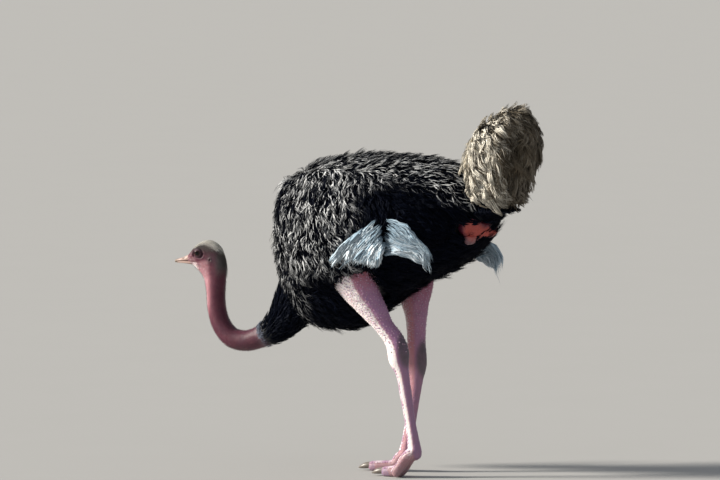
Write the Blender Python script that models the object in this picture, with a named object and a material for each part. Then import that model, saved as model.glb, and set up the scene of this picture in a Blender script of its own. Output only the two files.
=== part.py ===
"""A male ostrich, life size, in a slow walk with its neck carried low in a U.

The bird faces -X and its left side is -Y.  Z is up from the floor, in metres.  Every piece of
the body is one closed solid of its own, 0.3 mm or so clear of the pieces that it meets.
"""

import math

import bmesh
import bpy
import numpy as np

# ---------------------------------------------------------------- driving dimensions
GAP = 0.0004  # how far a piece is cut back from the neighbour that it meets
LEFT, RIGHT = -1, 1  # the sign of Y on each side

TRUNK_SIDES = 24
TRUNK_SQUARE = 0.92  # below 1 the sections are fuller than an ellipse
TRUNK_WIDEST = 0.56  # height of the widest line, as a share of the section's height
TRUNK_KEEL = 0.14  # how much narrower the underside is

NECK_SIDES = 16
HEAD_SQUARE = 0.93
EYE_RADIUS = 0.0210
EYE_CENTRE = (-0.9090, 0.0235, 0.9065)

LEG_SIDES = 14
KNUCKLE = 0.030  # how far the rounded end of a shank reaches past the joint of the foot
TOE_SIDES = 10
TOE_LENGTH = 0.185  # from the foot's joint to the root of the claw
TOE_DROP_LENGTH = 1.75  # the length in which a toe comes down to the floor, per metre of drop
OUTER_TOE_LENGTH = 0.128
OUTER_TOE_SIZE = 0.76
OUTER_TOE_SPLAY = math.radians(22)
OUTER_TOE_STEP = 0.017  # how far outside the middle toe its root lies
TOE_CENTRE_HEIGHT = 0.023  # of the part of a toe that lies on the floor
TOE_TURNS_IN = math.radians(2)
CLAW_LENGTH = 0.060
CLAW_HALF_WIDTH = 0.0150
CLAW_CLEARANCE = 0.0012  # the underside of a claw above the floor

WING_LEAN_IN = 0.085  # how far the upper edge of a wing curves in over the back
WING_TUCK = 0.030  # and the lower edge under the flank
PLUME_LOBES = 6  # scallops along the lower edge of the white plumes
PLUME_LOBE_DEPTH = 0.009
PLUME_LEAN = 0.020
RIGHT_PLUME_TRAIL = 0.120  # the right wing is a little open, so its plumes trail further back
RIGHT_PLUME_DROP = 0.055

TAIL_SIDES = 21
TAIL_LOBES = 7  # bunches of plumes round the tail
TAIL_LOBE_DEPTH = 0.05

VENT_CENTRE = (0.392, 0.0, 1.030)
VENT_HALF = (0.040, 0.075, 0.055)

# ---------------------------------------------------------------- sections of the body
# The trunk from chest to rump, feathers included: x, top, bottom, half width.
TRUNK = [
    (-0.542, 0.985, 0.975, 0.006),
    (-0.530, 1.095, 0.850, 0.088),
    (-0.498, 1.195, 0.745, 0.148),
    (-0.452, 1.265, 0.665, 0.185),
    (-0.380, 1.306, 0.620, 0.215),
    (-0.290, 1.328, 0.603, 0.233),
    (-0.190, 1.343, 0.612, 0.243),
    (-0.080, 1.350, 0.672, 0.245),
    (0.040, 1.346, 0.760, 0.240),
    (0.150, 1.334, 0.826, 0.222),
    (0.250, 1.312, 0.870, 0.195),
    (0.340, 1.262, 0.935, 0.158),
    (0.405, 1.205, 1.005, 0.112),
    (0.445, 1.150, 1.075, 0.060),
    (0.455, 1.115, 1.105, 0.006),
]

# The neck from inside the chest to the root of the bill:
# x, z, half width, radius towards the back of the neck, radius towards the throat.
NECK = [
    (-0.385, 0.835, 0.115, 0.120, 0.120),
    (-0.442, 0.758, 0.100, 0.108, 0.108),
    (-0.489, 0.682, 0.084, 0.092, 0.095),
    (-0.533, 0.628, 0.067, 0.074, 0.077),
    (-0.587, 0.585, 0.053, 0.059, 0.062),
    (-0.643, 0.556, 0.046, 0.048, 0.050),
    (-0.704, 0.540, 0.044, 0.046, 0.047),
    (-0.766, 0.552, 0.043, 0.045, 0.046),
    (-0.811, 0.600, 0.042, 0.043, 0.044),
    (-0.835, 0.673, 0.041, 0.042, 0.043),
    (-0.840, 0.752, 0.041, 0.044, 0.045),
    (-0.840, 0.798, 0.041, 0.048, 0.054),
]
NECK_SPLITS = (0, 4.6, 6.5, 8.5, 11)  # where the neck parts, by row of NECK

# The head, by pairs of places on its outline: x and z on the nape, crown and forehead, x and z
# on the throat and jaw, and the half width between them.
HEAD = [
    (-0.792, 0.7985, -0.894, 0.7985, 0.0410),
    (-0.790, 0.822, -0.902, 0.812, 0.0410),
    (-0.791, 0.852, -0.911, 0.822, 0.0410),
    (-0.798, 0.888, -0.919, 0.830, 0.0410),
    (-0.812, 0.922, -0.927, 0.837, 0.0415),
    (-0.836, 0.947, -0.934, 0.843, 0.0420),
    (-0.866, 0.9590, -0.940, 0.848, 0.0420),
    (-0.893, 0.9560, -0.945, 0.852, 0.0415),
    (-0.915, 0.945, -0.950, 0.856, 0.0400),
    (-0.935, 0.930, -0.956, 0.860, 0.0365),
    (-0.950, 0.915, -0.962, 0.864, 0.0305),
    (-0.962, 0.903, -0.967, 0.868, 0.0235),
    (-0.970, 0.895, -0.971, 0.875, 0.0150),
    (-0.974, 0.888, -0.974, 0.883, 0.0040),
]

# Each leg from inside the body to the joint of the foot:
# x, distance from the middle plane, z, half width, radius to the front, radius to the back.
# The left foot is about to leave the floor, so its joint stands higher than the right one.
LEFT_LEG = [
    (-0.215, 0.140, 1.020, 0.070, 0.120, 0.120),
    (-0.185, 0.160, 0.950, 0.078, 0.118, 0.118),
    (-0.151, 0.166, 0.866, 0.074, 0.108, 0.108),
    (-0.112, 0.160, 0.783, 0.062, 0.080, 0.081),
    (-0.087, 0.155, 0.741, 0.054, 0.065, 0.066),
    (-0.053, 0.149, 0.692, 0.046, 0.053, 0.055),
    (-0.016, 0.140, 0.634, 0.038, 0.038, 0.040),
    (0.024, 0.130, 0.576, 0.038, 0.040, 0.043),
    (0.040, 0.125, 0.528, 0.040, 0.045, 0.047),
    (0.044, 0.121, 0.492, 0.036, 0.045, 0.044),
    (0.053, 0.117, 0.456, 0.029, 0.032, 0.032),
    (0.071, 0.107, 0.340, 0.022, 0.025, 0.025),
    (0.090, 0.100, 0.215, 0.021, 0.023, 0.022),
    (0.101, 0.096, 0.142, 0.026, 0.026, 0.025),
    (0.107, 0.095, 0.100, 0.029, 0.029, 0.027),
]
RIGHT_LEG = [
    (-0.080, 0.140, 1.020, 0.070, 0.110, 0.110),
    (-0.045, 0.158, 0.930, 0.078, 0.112, 0.112),
    (-0.012, 0.166, 0.850, 0.074, 0.098, 0.098),
    (0.006, 0.162, 0.786, 0.064, 0.080, 0.078),
    (0.008, 0.155, 0.722, 0.054, 0.064, 0.062),
    (0.014, 0.150, 0.664, 0.045, 0.048, 0.048),
    (0.018, 0.141, 0.590, 0.038, 0.039, 0.040),
    (0.022, 0.131, 0.536, 0.037, 0.038, 0.040),
    (0.026, 0.125, 0.490, 0.038, 0.041, 0.043),
    (0.028, 0.122, 0.452, 0.036, 0.042, 0.043),
    (0.026, 0.116, 0.392, 0.029, 0.033, 0.032),
    (0.020, 0.110, 0.310, 0.022, 0.026, 0.025),
    (0.006, 0.104, 0.200, 0.021, 0.023, 0.023),
    (-0.005, 0.100, 0.118, 0.026, 0.026, 0.025),
    (-0.012, 0.098, 0.070, 0.030, 0.030, 0.028),
]
LEFT_ANKLE_ROW, RIGHT_ANKLE_ROW = 9, 9  # where a leg parts into drumstick and shank

# The middle toe: share of its length, half width, reach above and below its centre.
TOE = [
    (0.00, 0.026, 0.026, 0.026),
    (0.14, 0.029, 0.025, 0.030),
    (0.34, 0.030, 0.023, 0.034),
    (0.60, 0.031, 0.020, 0.036),
    (0.84, 0.029, 0.017, 0.036),
    (0.95, 0.022, 0.013, 0.034),
    (1.00, 0.010, 0.007, 0.020),
]

# The tail, cocked straight up: x, z, half length along X, half width.
TAIL = [
    (0.425, 1.098, 0.020, 0.024),
    (0.425, 1.103, 0.080, 0.100),
    (0.426, 1.130, 0.115, 0.140),
    (0.431, 1.185, 0.136, 0.166),
    (0.441, 1.265, 0.149, 0.182),
    (0.454, 1.345, 0.155, 0.190),
    (0.468, 1.415, 0.148, 0.180),
    (0.487, 1.475, 0.123, 0.148),
    (0.510, 1.525, 0.082, 0.098),
    (0.528, 1.555, 0.044, 0.050),
    (0.533, 1.566, 0.012, 0.014),
]

# A folded wing from its shoulder to its rear end: x, top, bottom, distance from the middle
# plane, half thickness.
WING = [
    (-0.492, 1.100, 1.085, 0.150, 0.008),
    (-0.475, 1.190, 0.960, 0.180, 0.035),
    (-0.420, 1.250, 0.855, 0.205, 0.055),
    (-0.330, 1.282, 0.800, 0.222, 0.065),
    (-0.220, 1.292, 0.805, 0.230, 0.067),
    (-0.100, 1.285, 0.850, 0.232, 0.064),
    (0.020, 1.265, 0.905, 0.228, 0.058),
    (0.130, 1.225, 0.950, 0.215, 0.050),
    (0.220, 1.165, 0.985, 0.195, 0.036),
    (0.275, 1.105, 1.020, 0.178, 0.020),
    (0.290, 1.070, 1.055, 0.170, 0.006),
]

# The white plumes of a wing, in the same columns.  They hang in two bunches.
PLUMES = [
    (-0.214, 0.868, 0.856, 0.240, 0.005),
    (-0.196, 0.893, 0.852, 0.250, 0.013),
    (-0.140, 0.957, 0.856, 0.262, 0.021),
    (-0.072, 1.030, 0.864, 0.272, 0.024),
    (0.004, 1.060, 0.868, 0.277, 0.024),
    (0.045, 1.070, 0.905, 0.278, 0.024),
    (0.090, 1.072, 0.928, 0.276, 0.024),
    (0.154, 1.040, 0.905, 0.268, 0.022),
    (0.210, 0.980, 0.870, 0.256, 0.018),
    (0.242, 0.930, 0.862, 0.246, 0.011),
    (0.256, 0.890, 0.872, 0.240, 0.004),
]

# The bill: x, half width, top, bottom.
UPPER_BILL = [
    (-0.938, 0.0190, 0.9040, 0.8727),
    (-0.958, 0.0215, 0.9010, 0.8722),
    (-0.975, 0.0210, 0.8925, 0.8718),
    (-0.992, 0.0190, 0.8855, 0.8708),
    (-1.008, 0.0155, 0.8805, 0.8695),
    (-1.020, 0.0110, 0.8765, 0.8670),
    (-1.027, 0.0060, 0.8725, 0.8640),
    (-1.029, 0.0020, 0.8690, 0.8655),
]
LOWER_BILL = [
    (-0.938, 0.0185, 0.8720, 0.8560),
    (-0.958, 0.0205, 0.8715, 0.8580),
    (-0.978, 0.0195, 0.8710, 0.8605),
    (-0.995, 0.0170, 0.8700, 0.8615),
    (-1.010, 0.0125, 0.8688, 0.8620),
    (-1.019, 0.0075, 0.8675, 0.8625),
    (-1.023, 0.0020, 0.8655, 0.8635),
]

# ---------------------------------------------------------------- colours of the pieces
COLOURS = {
    "black_feather": ((0.012, 0.014, 0.020, 1), 0.45),
    "white_feather": ((0.70, 0.72, 0.72, 1), 0.80),
    "buff_feather": ((0.42, 0.37, 0.30, 1), 0.85),
    "pink_skin": ((0.48, 0.22, 0.24, 1), 0.55),
    "leg_skin": ((0.52, 0.30, 0.33, 1), 0.50),
    "bill_horn": ((0.55, 0.40, 0.33, 1), 0.40),
    "claw_horn": ((0.10, 0.09, 0.08, 1), 0.40),
    "eye": ((0.05, 0.03, 0.02, 1), 0.08),
}


# ---------------------------------------------------------------- curves and surfaces
class Track:
    """A smooth curve through rows of numbers, measured in metres along its first columns."""

    def __init__(self, rows, places=3):
        self.rows = np.array(rows, float)
        steps = np.linalg.norm(np.diff(self.rows[:, :places], axis=0), axis=1)
        self.at = np.concatenate([[0.0], np.cumsum(steps)])
        slope = np.diff(self.rows, axis=0) / steps[:, None]
        inner = (slope[:-1] * steps[1:, None] + slope[1:] * steps[:-1, None]) / (
            steps[:-1] + steps[1:]
        )[:, None]
        self.slope = np.vstack([slope[:1], inner, slope[-1:]])

    def metres(self, row):
        """The distance along the curve of a row, which may lie between two."""
        return float(np.interp(row, np.arange(len(self.at)), self.at))

    def sample(self, places):
        """The rows at these distances, by cubic pieces that share their slope at each row."""
        places = np.clip(places, 0.0, self.at[-1])
        i = np.clip(np.searchsorted(self.at, places, "right") - 1, 0, len(self.at) - 2)
        step = (self.at[i + 1] - self.at[i])[:, None]
        t = (places - self.at[i])[:, None] / step
        start, end = self.rows[i], self.rows[i + 1]
        leave, arrive = self.slope[i] * step, self.slope[i + 1] * step
        return (
            (2 * t**3 - 3 * t**2 + 1) * start
            + (t**3 - 2 * t**2 + t) * leave
            + (3 * t**2 - 2 * t**3) * end
            + (t**3 - t**2) * arrive
        )


def bent(values, power):
    """Values from -1 to 1 with the sign kept, raised to power, which squares off a circle."""
    return np.sign(values) * np.abs(values) ** power


def turns(sides):
    """The angles of the points round a section, as a row."""
    return np.linspace(0.0, 2 * math.pi, sides, endpoint=False)[None, :]


def tube_rings(track, places, sides, square=1.0):
    """Sections square to a track at these distances along it, from its six columns."""
    rows = track.sample(places)
    centre, (side, up, down) = rows[:, :3], rows[:, 3:].T
    ahead = track.sample(places + 0.004)[:, :3] - track.sample(places - 0.004)[:, :3]
    ahead /= np.linalg.norm(ahead, axis=1)[:, None]
    across = np.array([0.0, 1.0, 0.0]) - ahead * ahead[:, 1:2]
    across /= np.linalg.norm(across, axis=1)[:, None]
    above = np.cross(across, ahead)
    turn = turns(sides)
    reach = np.where(np.sin(turn) > 0, up[:, None], down[:, None])
    out = side[:, None] * bent(np.cos(turn), square)
    high = reach * bent(np.sin(turn), square)
    return (
        centre[:, None, :]
        + out[:, :, None] * across[:, None, :]
        + high[:, :, None] * above[:, None, :]
    )


def solid(name, rings, colour, levels=0):
    """A closed object skinned over rings of points, with a fan over each end."""
    mesh = bpy.data.meshes.new(name)
    shape = bmesh.new()
    count, sides = rings.shape[:2]
    corners = [[shape.verts.new(p) for p in ring] for ring in rings]
    for here, there in zip(corners, corners[1:]):
        for k in range(sides):
            j = (k + 1) % sides
            shape.faces.new((here[k], there[k], there[j], here[j]))
    for ring, flip in ((0, False), (count - 1, True)):
        middle = shape.verts.new(rings[ring].mean(axis=0))
        for k in range(sides):
            face = (middle, corners[ring][k], corners[ring][(k + 1) % sides])
            shape.faces.new(face[::-1] if flip else face)
    bmesh.ops.triangulate(shape, faces=shape.faces[:])
    bmesh.ops.recalc_face_normals(shape, faces=shape.faces[:])
    shape.to_mesh(mesh)
    shape.free()
    mesh.shade_smooth()
    piece = bpy.data.objects.new(name, mesh)
    bpy.context.scene.collection.objects.link(piece)
    mesh.materials.append(material(colour))
    return piece


def material(colour):
    """The Principled material of one colour name, made once."""
    found = bpy.data.materials.get(colour)
    if found:
        return found
    made = bpy.data.materials.new(colour)
    made.use_nodes = True
    shader = made.node_tree.nodes["Principled BSDF"]
    shader.inputs["Base Color"].default_value = COLOURS[colour][0]
    shader.inputs["Roughness"].default_value = COLOURS[colour][1]
    shader.inputs["Metallic"].default_value = 0.0
    made.diffuse_color = COLOURS[colour][0]
    return made


def clear_of(piece, *neighbours):
    """Cuts the piece back to stand just clear of each neighbour."""
    for neighbour in neighbours:
        cutter = bpy.data.objects.new(f"cutter_{piece.name}_{neighbour.name}", neighbour.data)
        bpy.context.scene.collection.objects.link(cutter)
        cutter.hide_render = True
        cutter.display_type = "WIRE"
        grown = cutter.modifiers.new("Grown", "DISPLACE")
        grown.strength = GAP
        grown.mid_level = 0.0
        cut = piece.modifiers.new(f"Clear of {neighbour.name}", "BOOLEAN")
        cut.operation = "DIFFERENCE"
        cut.solver = "EXACT"
        cut.object = cutter


# ---------------------------------------------------------------- trunk, tail and wings
def make_trunk():
    """The body from chest to rump, an egg of feathers that hangs lowest at the breast."""
    track = Track(TRUNK, places=1)
    share = np.linspace(0.0, 1.0, 23)
    eased = 0.5 * share + 0.5 * (1 - np.cos(math.pi * share)) / 2
    x, top, bottom, half = track.sample(eased * track.at[-1]).T
    widest = bottom + TRUNK_WIDEST * (top - bottom)
    turn = turns(TRUNK_SIDES)
    reach = np.where(np.sin(turn) > 0, (top - widest)[:, None], (widest - bottom)[:, None])
    keel = 1 - TRUNK_KEEL * np.clip(-np.sin(turn), 0, 1) ** 2
    y = half[:, None] * bent(np.cos(turn), TRUNK_SQUARE) * keel
    z = widest[:, None] + reach * bent(np.sin(turn), TRUNK_SQUARE)
    rings = np.stack([np.broadcast_to(x[:, None], y.shape), y, z], axis=2)
    return solid("trunk", rings, "black_feather")


def make_tail(trunk):
    """The tail, a bush of plumes that stands up from the rump and droops all round."""
    track = Track([(x, 0.0, z, length, width) for x, z, length, width in TAIL])
    height = np.linspace(0.0, 1.0, 15)
    x, _, z, length, width = track.sample(height * track.at[-1]).T
    turn = turns(TAIL_SIDES)
    lobes = np.cos(TAIL_LOBES * turn + 4 * height[:, None]) * np.sin(math.pi * height)[:, None]
    swell = 1 + TAIL_LOBE_DEPTH * lobes
    px = x[:, None] + length[:, None] * np.cos(turn) * swell
    py = width[:, None] * np.sin(turn) * swell
    pz = np.broadcast_to(z[:, None], px.shape)
    tail = solid("tail", np.stack([px, py, pz], axis=2), "buff_feather")
    clear_of(tail, trunk)
    return tail


def ball(name, centre, half, colour):
    """An ellipsoid with these half sizes, its poles on the Y axis."""
    polar = np.linspace(0.10, math.pi - 0.10, 9)[:, None]
    turn = turns(12)
    x = centre[0] + half[0] * np.sin(polar) * np.cos(turn)
    z = centre[2] + half[2] * np.sin(polar) * np.sin(turn)
    y = centre[1] + half[1] * np.cos(polar) * np.ones_like(turn)
    return solid(name, np.stack([x, y, z], axis=2), colour)


def make_vent(trunk, tail):
    """The bare swelling of skin under the root of the tail."""
    clear_of(ball("vent", VENT_CENTRE, VENT_HALF, "pink_skin"), trunk, tail)


def lens_rings(x, top, bottom, y_middle, thick, sides):
    """Sections square to X of a flat thing on the flank, which y_middle bends over its height."""
    turn = turns(sides)
    rise = bent(np.sin(turn), 0.85)
    middle, half = (top + bottom) / 2, (top - bottom) / 2
    y = y_middle(rise) + thick[:, None] * bent(np.cos(turn), 0.85)
    z = middle[:, None] + half[:, None] * rise
    return np.stack([np.broadcast_to(x[:, None], y.shape), y, z], axis=2)


def make_wing(name, side, trunk):
    """One folded wing, a shield of black feathers that wraps over the flank."""
    track = Track(WING, places=1)
    x, top, bottom, off, thick = track.sample(np.linspace(0.0, track.at[-1], 14)).T

    def curve(rise):
        lean = np.where(rise > 0, WING_LEAN_IN, WING_TUCK) * rise**2
        return side * (off[:, None] - lean * (thick / thick.max())[:, None])

    wing = solid(name, lens_rings(x, top, bottom, curve, thick, 14), "black_feather")
    clear_of(wing, trunk)
    return wing


def make_plumes(name, side, trail, drop, neighbours):
    """The white plumes of one wing, a scalloped curtain against the flank."""
    track = Track(PLUMES, places=1)
    share = np.linspace(0.0, 1.0, 20)
    x, top, bottom, off, thick = track.sample(share * track.at[-1]).T
    scallop = np.abs(np.sin(PLUME_LOBES / 2 * math.pi * share)) * np.sin(math.pi * share)
    fall = drop * share**1.5
    inward = PLUME_LEAN * np.sin(math.pi * share)[:, None]

    def curve(rise):
        return side * (off[:, None] - inward * rise)

    low = bottom - PLUME_LOBE_DEPTH * scallop - fall
    rings = lens_rings(x + trail * share, top - fall, low, curve, thick, 12)
    plumes = solid(name, rings, "white_feather")
    clear_of(plumes, *neighbours)
    return plumes


# ---------------------------------------------------------------- neck and head
def make_neck(trunk):
    """The neck in four lengths, parted by thin cuts square to it."""
    track = Track([(x, 0.0, z, side, up, down) for x, z, side, up, down in NECK])
    pieces = []
    for name, colour, count, first, last in zip(
        ("neck_base", "neck_low", "neck_rise", "neck_top"),
        ("black_feather", "pink_skin", "pink_skin", "pink_skin"),
        (7, 6, 6, 6),
        NECK_SPLITS,
        NECK_SPLITS[1:],
    ):
        start = track.metres(first) + GAP / 2
        end = track.metres(last) - GAP / 2
        rings = tube_rings(track, np.linspace(start, end, count), NECK_SIDES)
        pieces.append(solid(name, rings, colour))
    clear_of(pieces[0], trunk)


def make_head():
    """The head, skinned over slices that fan out from the throat round to the brow."""
    track = Track(HEAD, places=2)
    x_top, z_top, x_low, z_low, half = track.sample(np.linspace(0.0, track.at[-1], 17)).T
    top = np.stack([x_top, np.zeros_like(x_top), z_top], axis=1)[:, None, :]
    low = np.stack([x_low, np.zeros_like(x_low), z_low], axis=1)[:, None, :]
    turn = turns(NECK_SIDES)[:, :, None]
    across = np.array([0.0, 1.0, 0.0]) * half[:, None, None] * bent(np.cos(turn), HEAD_SQUARE)
    rise = bent(np.sin(turn), HEAD_SQUARE)
    return solid("head", (top + low) / 2 + (top - low) / 2 * rise + across, "pink_skin")


def make_eyes(head):
    """The two eyes, balls set in sockets of the head."""
    x, y, z = EYE_CENTRE
    for name, side in (("eye_left", LEFT), ("eye_right", RIGHT)):
        eye = ball(name, (x, side * y, z), (EYE_RADIUS,) * 3, "eye")
        clear_of(head, eye)


def bill_rings(rows, arch):
    """Sections of one half of the bill, flat where the halves meet and arched outside."""
    track = Track(rows, places=1)
    x, half, top, bottom = track.sample(np.linspace(0.0, track.at[-1], 10)).T
    turn = turns(12)
    middle, high = (top + bottom) / 2, (top - bottom) / 2
    rise = np.sin(turn)
    rise = np.where(rise * arch > 0, rise, bent(rise, 0.45))
    y = half[:, None] * bent(np.cos(turn), 0.85)
    z = middle[:, None] + high[:, None] * rise
    return np.stack([np.broadcast_to(x[:, None], y.shape), y, z], axis=2)


def make_bill(head):
    """The broad flat bill, its two halves closed."""
    upper = solid("bill_upper", bill_rings(UPPER_BILL, 1), "bill_horn")
    lower = solid("bill_lower", bill_rings(LOWER_BILL, -1), "bill_horn")
    clear_of(head, upper, lower)
    clear_of(lower, upper)


# ---------------------------------------------------------------- legs and feet
def leg_track(side, rows):
    """The curve of a leg, ended by a rounded knuckle below the joint of the foot."""
    table = np.array([(x, side * y, z, half, ahead, back) for x, y, z, half, ahead, back in rows])
    down = table[-1, :3] - table[-2, :3]
    down /= np.linalg.norm(down)
    knuckle = []
    for share in (0.55, 0.85, 1.0):
        row = table[-1].copy()
        row[:3] += share * KNUCKLE * down
        row[3:] *= math.sqrt(1 - (0.98 * share) ** 2)
        knuckle.append(row)
    return Track(np.vstack([table, knuckle]))


def make_leg(word, side, rows, ankle_row, trunk):
    """One leg: the bare drumstick, the shank, two toes and the great claw."""
    track = leg_track(side, rows)
    ankle = track.metres(ankle_row)
    pieces = []
    for name, start, end, count in (
        (f"drumstick_{word}", 0.0, ankle - GAP / 2, 15),
        (f"shank_{word}", ankle + GAP / 2, track.at[-1], 17),
    ):
        rings = tube_rings(track, np.linspace(start, end, count), LEG_SIDES)
        pieces.append(solid(name, rings, "leg_skin"))
    drumstick, shank = pieces
    clear_of(drumstick, trunk)
    make_foot(word, side, track.rows[len(rows) - 1, :3], shank)
    return drumstick


def toe_track(joint, heading, length, size):
    """The curve of a toe, which comes down from the joint and then lies along the floor."""
    share = np.array([row[0] for row in TOE])
    steps = np.linspace(0.0, 1.0, 41)
    rest = TOE_CENTRE_HEIGHT * size
    ramp = np.clip(steps * length / (TOE_DROP_LENGTH * (joint[2] - rest)), 0, 1)
    height = rest + (joint[2] - rest) * (1 - ramp * ramp * (3 - 2 * ramp))
    fall = np.diff(height)
    ahead = np.sqrt(np.clip((length / 40) ** 2 - fall**2, 1e-8, None))
    ahead = np.concatenate([[0.0], np.cumsum(ahead)])
    out = np.interp(share, steps, ahead)
    rows = np.zeros((len(TOE), 6))
    rows[:, 0] = joint[0] - out * math.cos(heading)
    rows[:, 1] = joint[1] + out * math.sin(heading)
    rows[:, 2] = np.interp(share, steps, height)
    rows[:, 3:] = size * np.array(TOE)[:, 1:]
    return Track(rows)


def toe_rings(track):
    """Sections along a toe, cut off flat at the floor."""
    rings = tube_rings(track, np.linspace(0.0, track.at[-1], 11), TOE_SIDES, 0.9)
    rings[:, :, 2] = np.maximum(rings[:, :, 2], 0.0)
    return rings


def claw_rings(root, heading):
    """Sections of the blunt claw, which arches down to a point just off the floor."""
    share = np.linspace(0.0, 1.0, 7)
    unit = np.array([-math.cos(heading), math.sin(heading)])
    centre = root[:2] + (share * CLAW_LENGTH)[:, None] * unit
    z = root[2] - 0.55 * root[2] * share**2
    half = CLAW_HALF_WIDTH * (1 - share**3) + 0.0015
    turn = turns(8)
    out = half[:, None] * np.cos(turn)
    x = centre[:, 0:1] - unit[1] * out
    y = centre[:, 1:2] + unit[0] * out
    rise = np.maximum(z[:, None] + 0.85 * half[:, None] * np.sin(turn), CLAW_CLEARANCE)
    return np.stack([x, y, rise], axis=2)


def make_foot(word, side, joint, shank):
    """The two toes of one foot, the long inner one with its claw."""
    inner_heading = -side * TOE_TURNS_IN
    inner = toe_track(joint, inner_heading, TOE_LENGTH, 1.0)
    middle = solid(f"toe_middle_{word}", toe_rings(inner), "leg_skin")
    beside = joint + np.array([0.0, side * OUTER_TOE_STEP, 0.0])
    beside_track = toe_track(beside, side * OUTER_TOE_SPLAY, OUTER_TOE_LENGTH, OUTER_TOE_SIZE)
    outer = solid(f"toe_outer_{word}", toe_rings(beside_track), "leg_skin")
    root = inner.sample(np.array([0.93 * inner.at[-1]]))[0, :3]
    claw = solid(f"claw_{word}", claw_rings(root, inner_heading), "claw_horn")
    clear_of(middle, shank)
    clear_of(outer, shank, middle)
    clear_of(claw, middle)


# ---------------------------------------------------------------- the whole bird
def set_on_origin():
    """Moves every piece so that the middle of the bird's box is over the origin."""
    bpy.context.view_layer.update()
    graph = bpy.context.evaluated_depsgraph_get()
    low, high = np.full(3, np.inf), np.full(3, -np.inf)
    for piece in bpy.context.scene.objects:
        if piece.hide_render:
            continue
        shape = piece.evaluated_get(graph).to_mesh()
        places = np.empty(len(shape.vertices) * 3)
        shape.vertices.foreach_get("co", places)
        places = places.reshape(-1, 3)
        low, high = np.minimum(low, places.min(axis=0)), np.maximum(high, places.max(axis=0))
    shift = np.array([-(low[0] + high[0]) / 2, -(low[1] + high[1]) / 2, -low[2]])
    for mesh in {piece.data for piece in bpy.context.scene.objects}:
        for corner in mesh.vertices:
            corner.co += type(corner.co)(shift)
    return shift


def main():
    """Builds the bird on an empty scene."""
    for old in list(bpy.data.objects):
        bpy.data.objects.remove(old)
    trunk = make_trunk()
    tail = make_tail(trunk)
    make_vent(trunk, tail)
    make_neck(trunk)
    head = make_head()
    make_eyes(head)
    make_bill(head)
    for word, side, leg, ankle_row, trail, drop in (
        ("left", LEFT, LEFT_LEG, LEFT_ANKLE_ROW, 0.0, 0.0),
        ("right", RIGHT, RIGHT_LEG, RIGHT_ANKLE_ROW, RIGHT_PLUME_TRAIL, RIGHT_PLUME_DROP),
    ):
        drumstick = make_leg(word, side, leg, ankle_row, trunk)
        wing = make_wing(f"wing_{word}", side, trunk)
        clear_of(drumstick, wing)
        make_plumes(f"plumes_{word}", side, trail, drop, (trunk, wing, drumstick))
    set_on_origin()


main()
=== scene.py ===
import logging
import math
from collections.abc import Callable
from dataclasses import dataclass, field, replace
from enum import Enum

import bmesh
import bpy
import numpy as np
from mathutils import Matrix, Vector


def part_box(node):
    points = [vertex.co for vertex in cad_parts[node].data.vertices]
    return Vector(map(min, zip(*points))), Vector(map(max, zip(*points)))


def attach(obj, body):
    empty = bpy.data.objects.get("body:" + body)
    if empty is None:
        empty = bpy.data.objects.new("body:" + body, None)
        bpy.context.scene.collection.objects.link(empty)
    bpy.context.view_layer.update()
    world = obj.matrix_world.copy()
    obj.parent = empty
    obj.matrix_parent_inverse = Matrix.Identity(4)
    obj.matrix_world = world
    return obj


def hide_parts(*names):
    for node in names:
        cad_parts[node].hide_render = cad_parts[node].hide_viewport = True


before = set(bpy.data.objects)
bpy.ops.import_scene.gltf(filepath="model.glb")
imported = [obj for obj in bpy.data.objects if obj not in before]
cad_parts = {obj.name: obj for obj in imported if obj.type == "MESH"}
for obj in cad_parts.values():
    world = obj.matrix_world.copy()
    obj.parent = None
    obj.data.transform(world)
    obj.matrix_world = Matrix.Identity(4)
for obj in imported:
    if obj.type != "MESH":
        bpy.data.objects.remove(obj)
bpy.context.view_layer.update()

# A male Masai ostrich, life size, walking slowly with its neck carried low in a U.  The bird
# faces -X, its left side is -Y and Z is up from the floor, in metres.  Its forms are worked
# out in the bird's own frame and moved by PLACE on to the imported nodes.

log = logging.getLogger("ostrich")
Array = np.ndarray
TAU = 2 * math.pi
Mesh, Object, Socket = bpy.types.Mesh, bpy.types.Object, bpy.types.NodeSocket
Material = bpy.types.Material


def sizes(*rows: tuple[float, ...]) -> Array:
    """Rows given in millimetres, as an array in metres."""
    return np.array(rows) / 1000


# ---- the forms of the bird
TRUNK = sizes(  # x, top, bottom, half width, feathers included
    (-542, 985, 975, 6),
    (-530, 1095, 850, 88),
    (-498, 1195, 745, 148),
    (-452, 1265, 665, 185),
    (-380, 1306, 620, 215),
    (-290, 1328, 603, 233),
    (-190, 1343, 612, 243),
    (-80, 1350, 672, 245),
    (40, 1346, 760, 240),
    (150, 1334, 826, 222),
    (250, 1312, 870, 195),
    (340, 1262, 935, 158),
    (405, 1205, 1005, 112),
    (445, 1150, 1075, 60),
    (455, 1115, 1105, 6),
)
WING = sizes(  # x, top, bottom, distance from the middle plane, half thickness
    (-492, 1100, 1085, 150, 8),
    (-475, 1190, 960, 180, 35),
    (-420, 1250, 855, 205, 55),
    (-330, 1282, 800, 222, 65),
    (-220, 1292, 805, 230, 67),
    (-100, 1285, 850, 232, 64),
    (20, 1265, 905, 228, 58),
    (130, 1225, 950, 215, 50),
    (220, 1165, 985, 195, 36),
    (275, 1105, 1020, 178, 20),
    (290, 1070, 1055, 170, 6),
)
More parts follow.
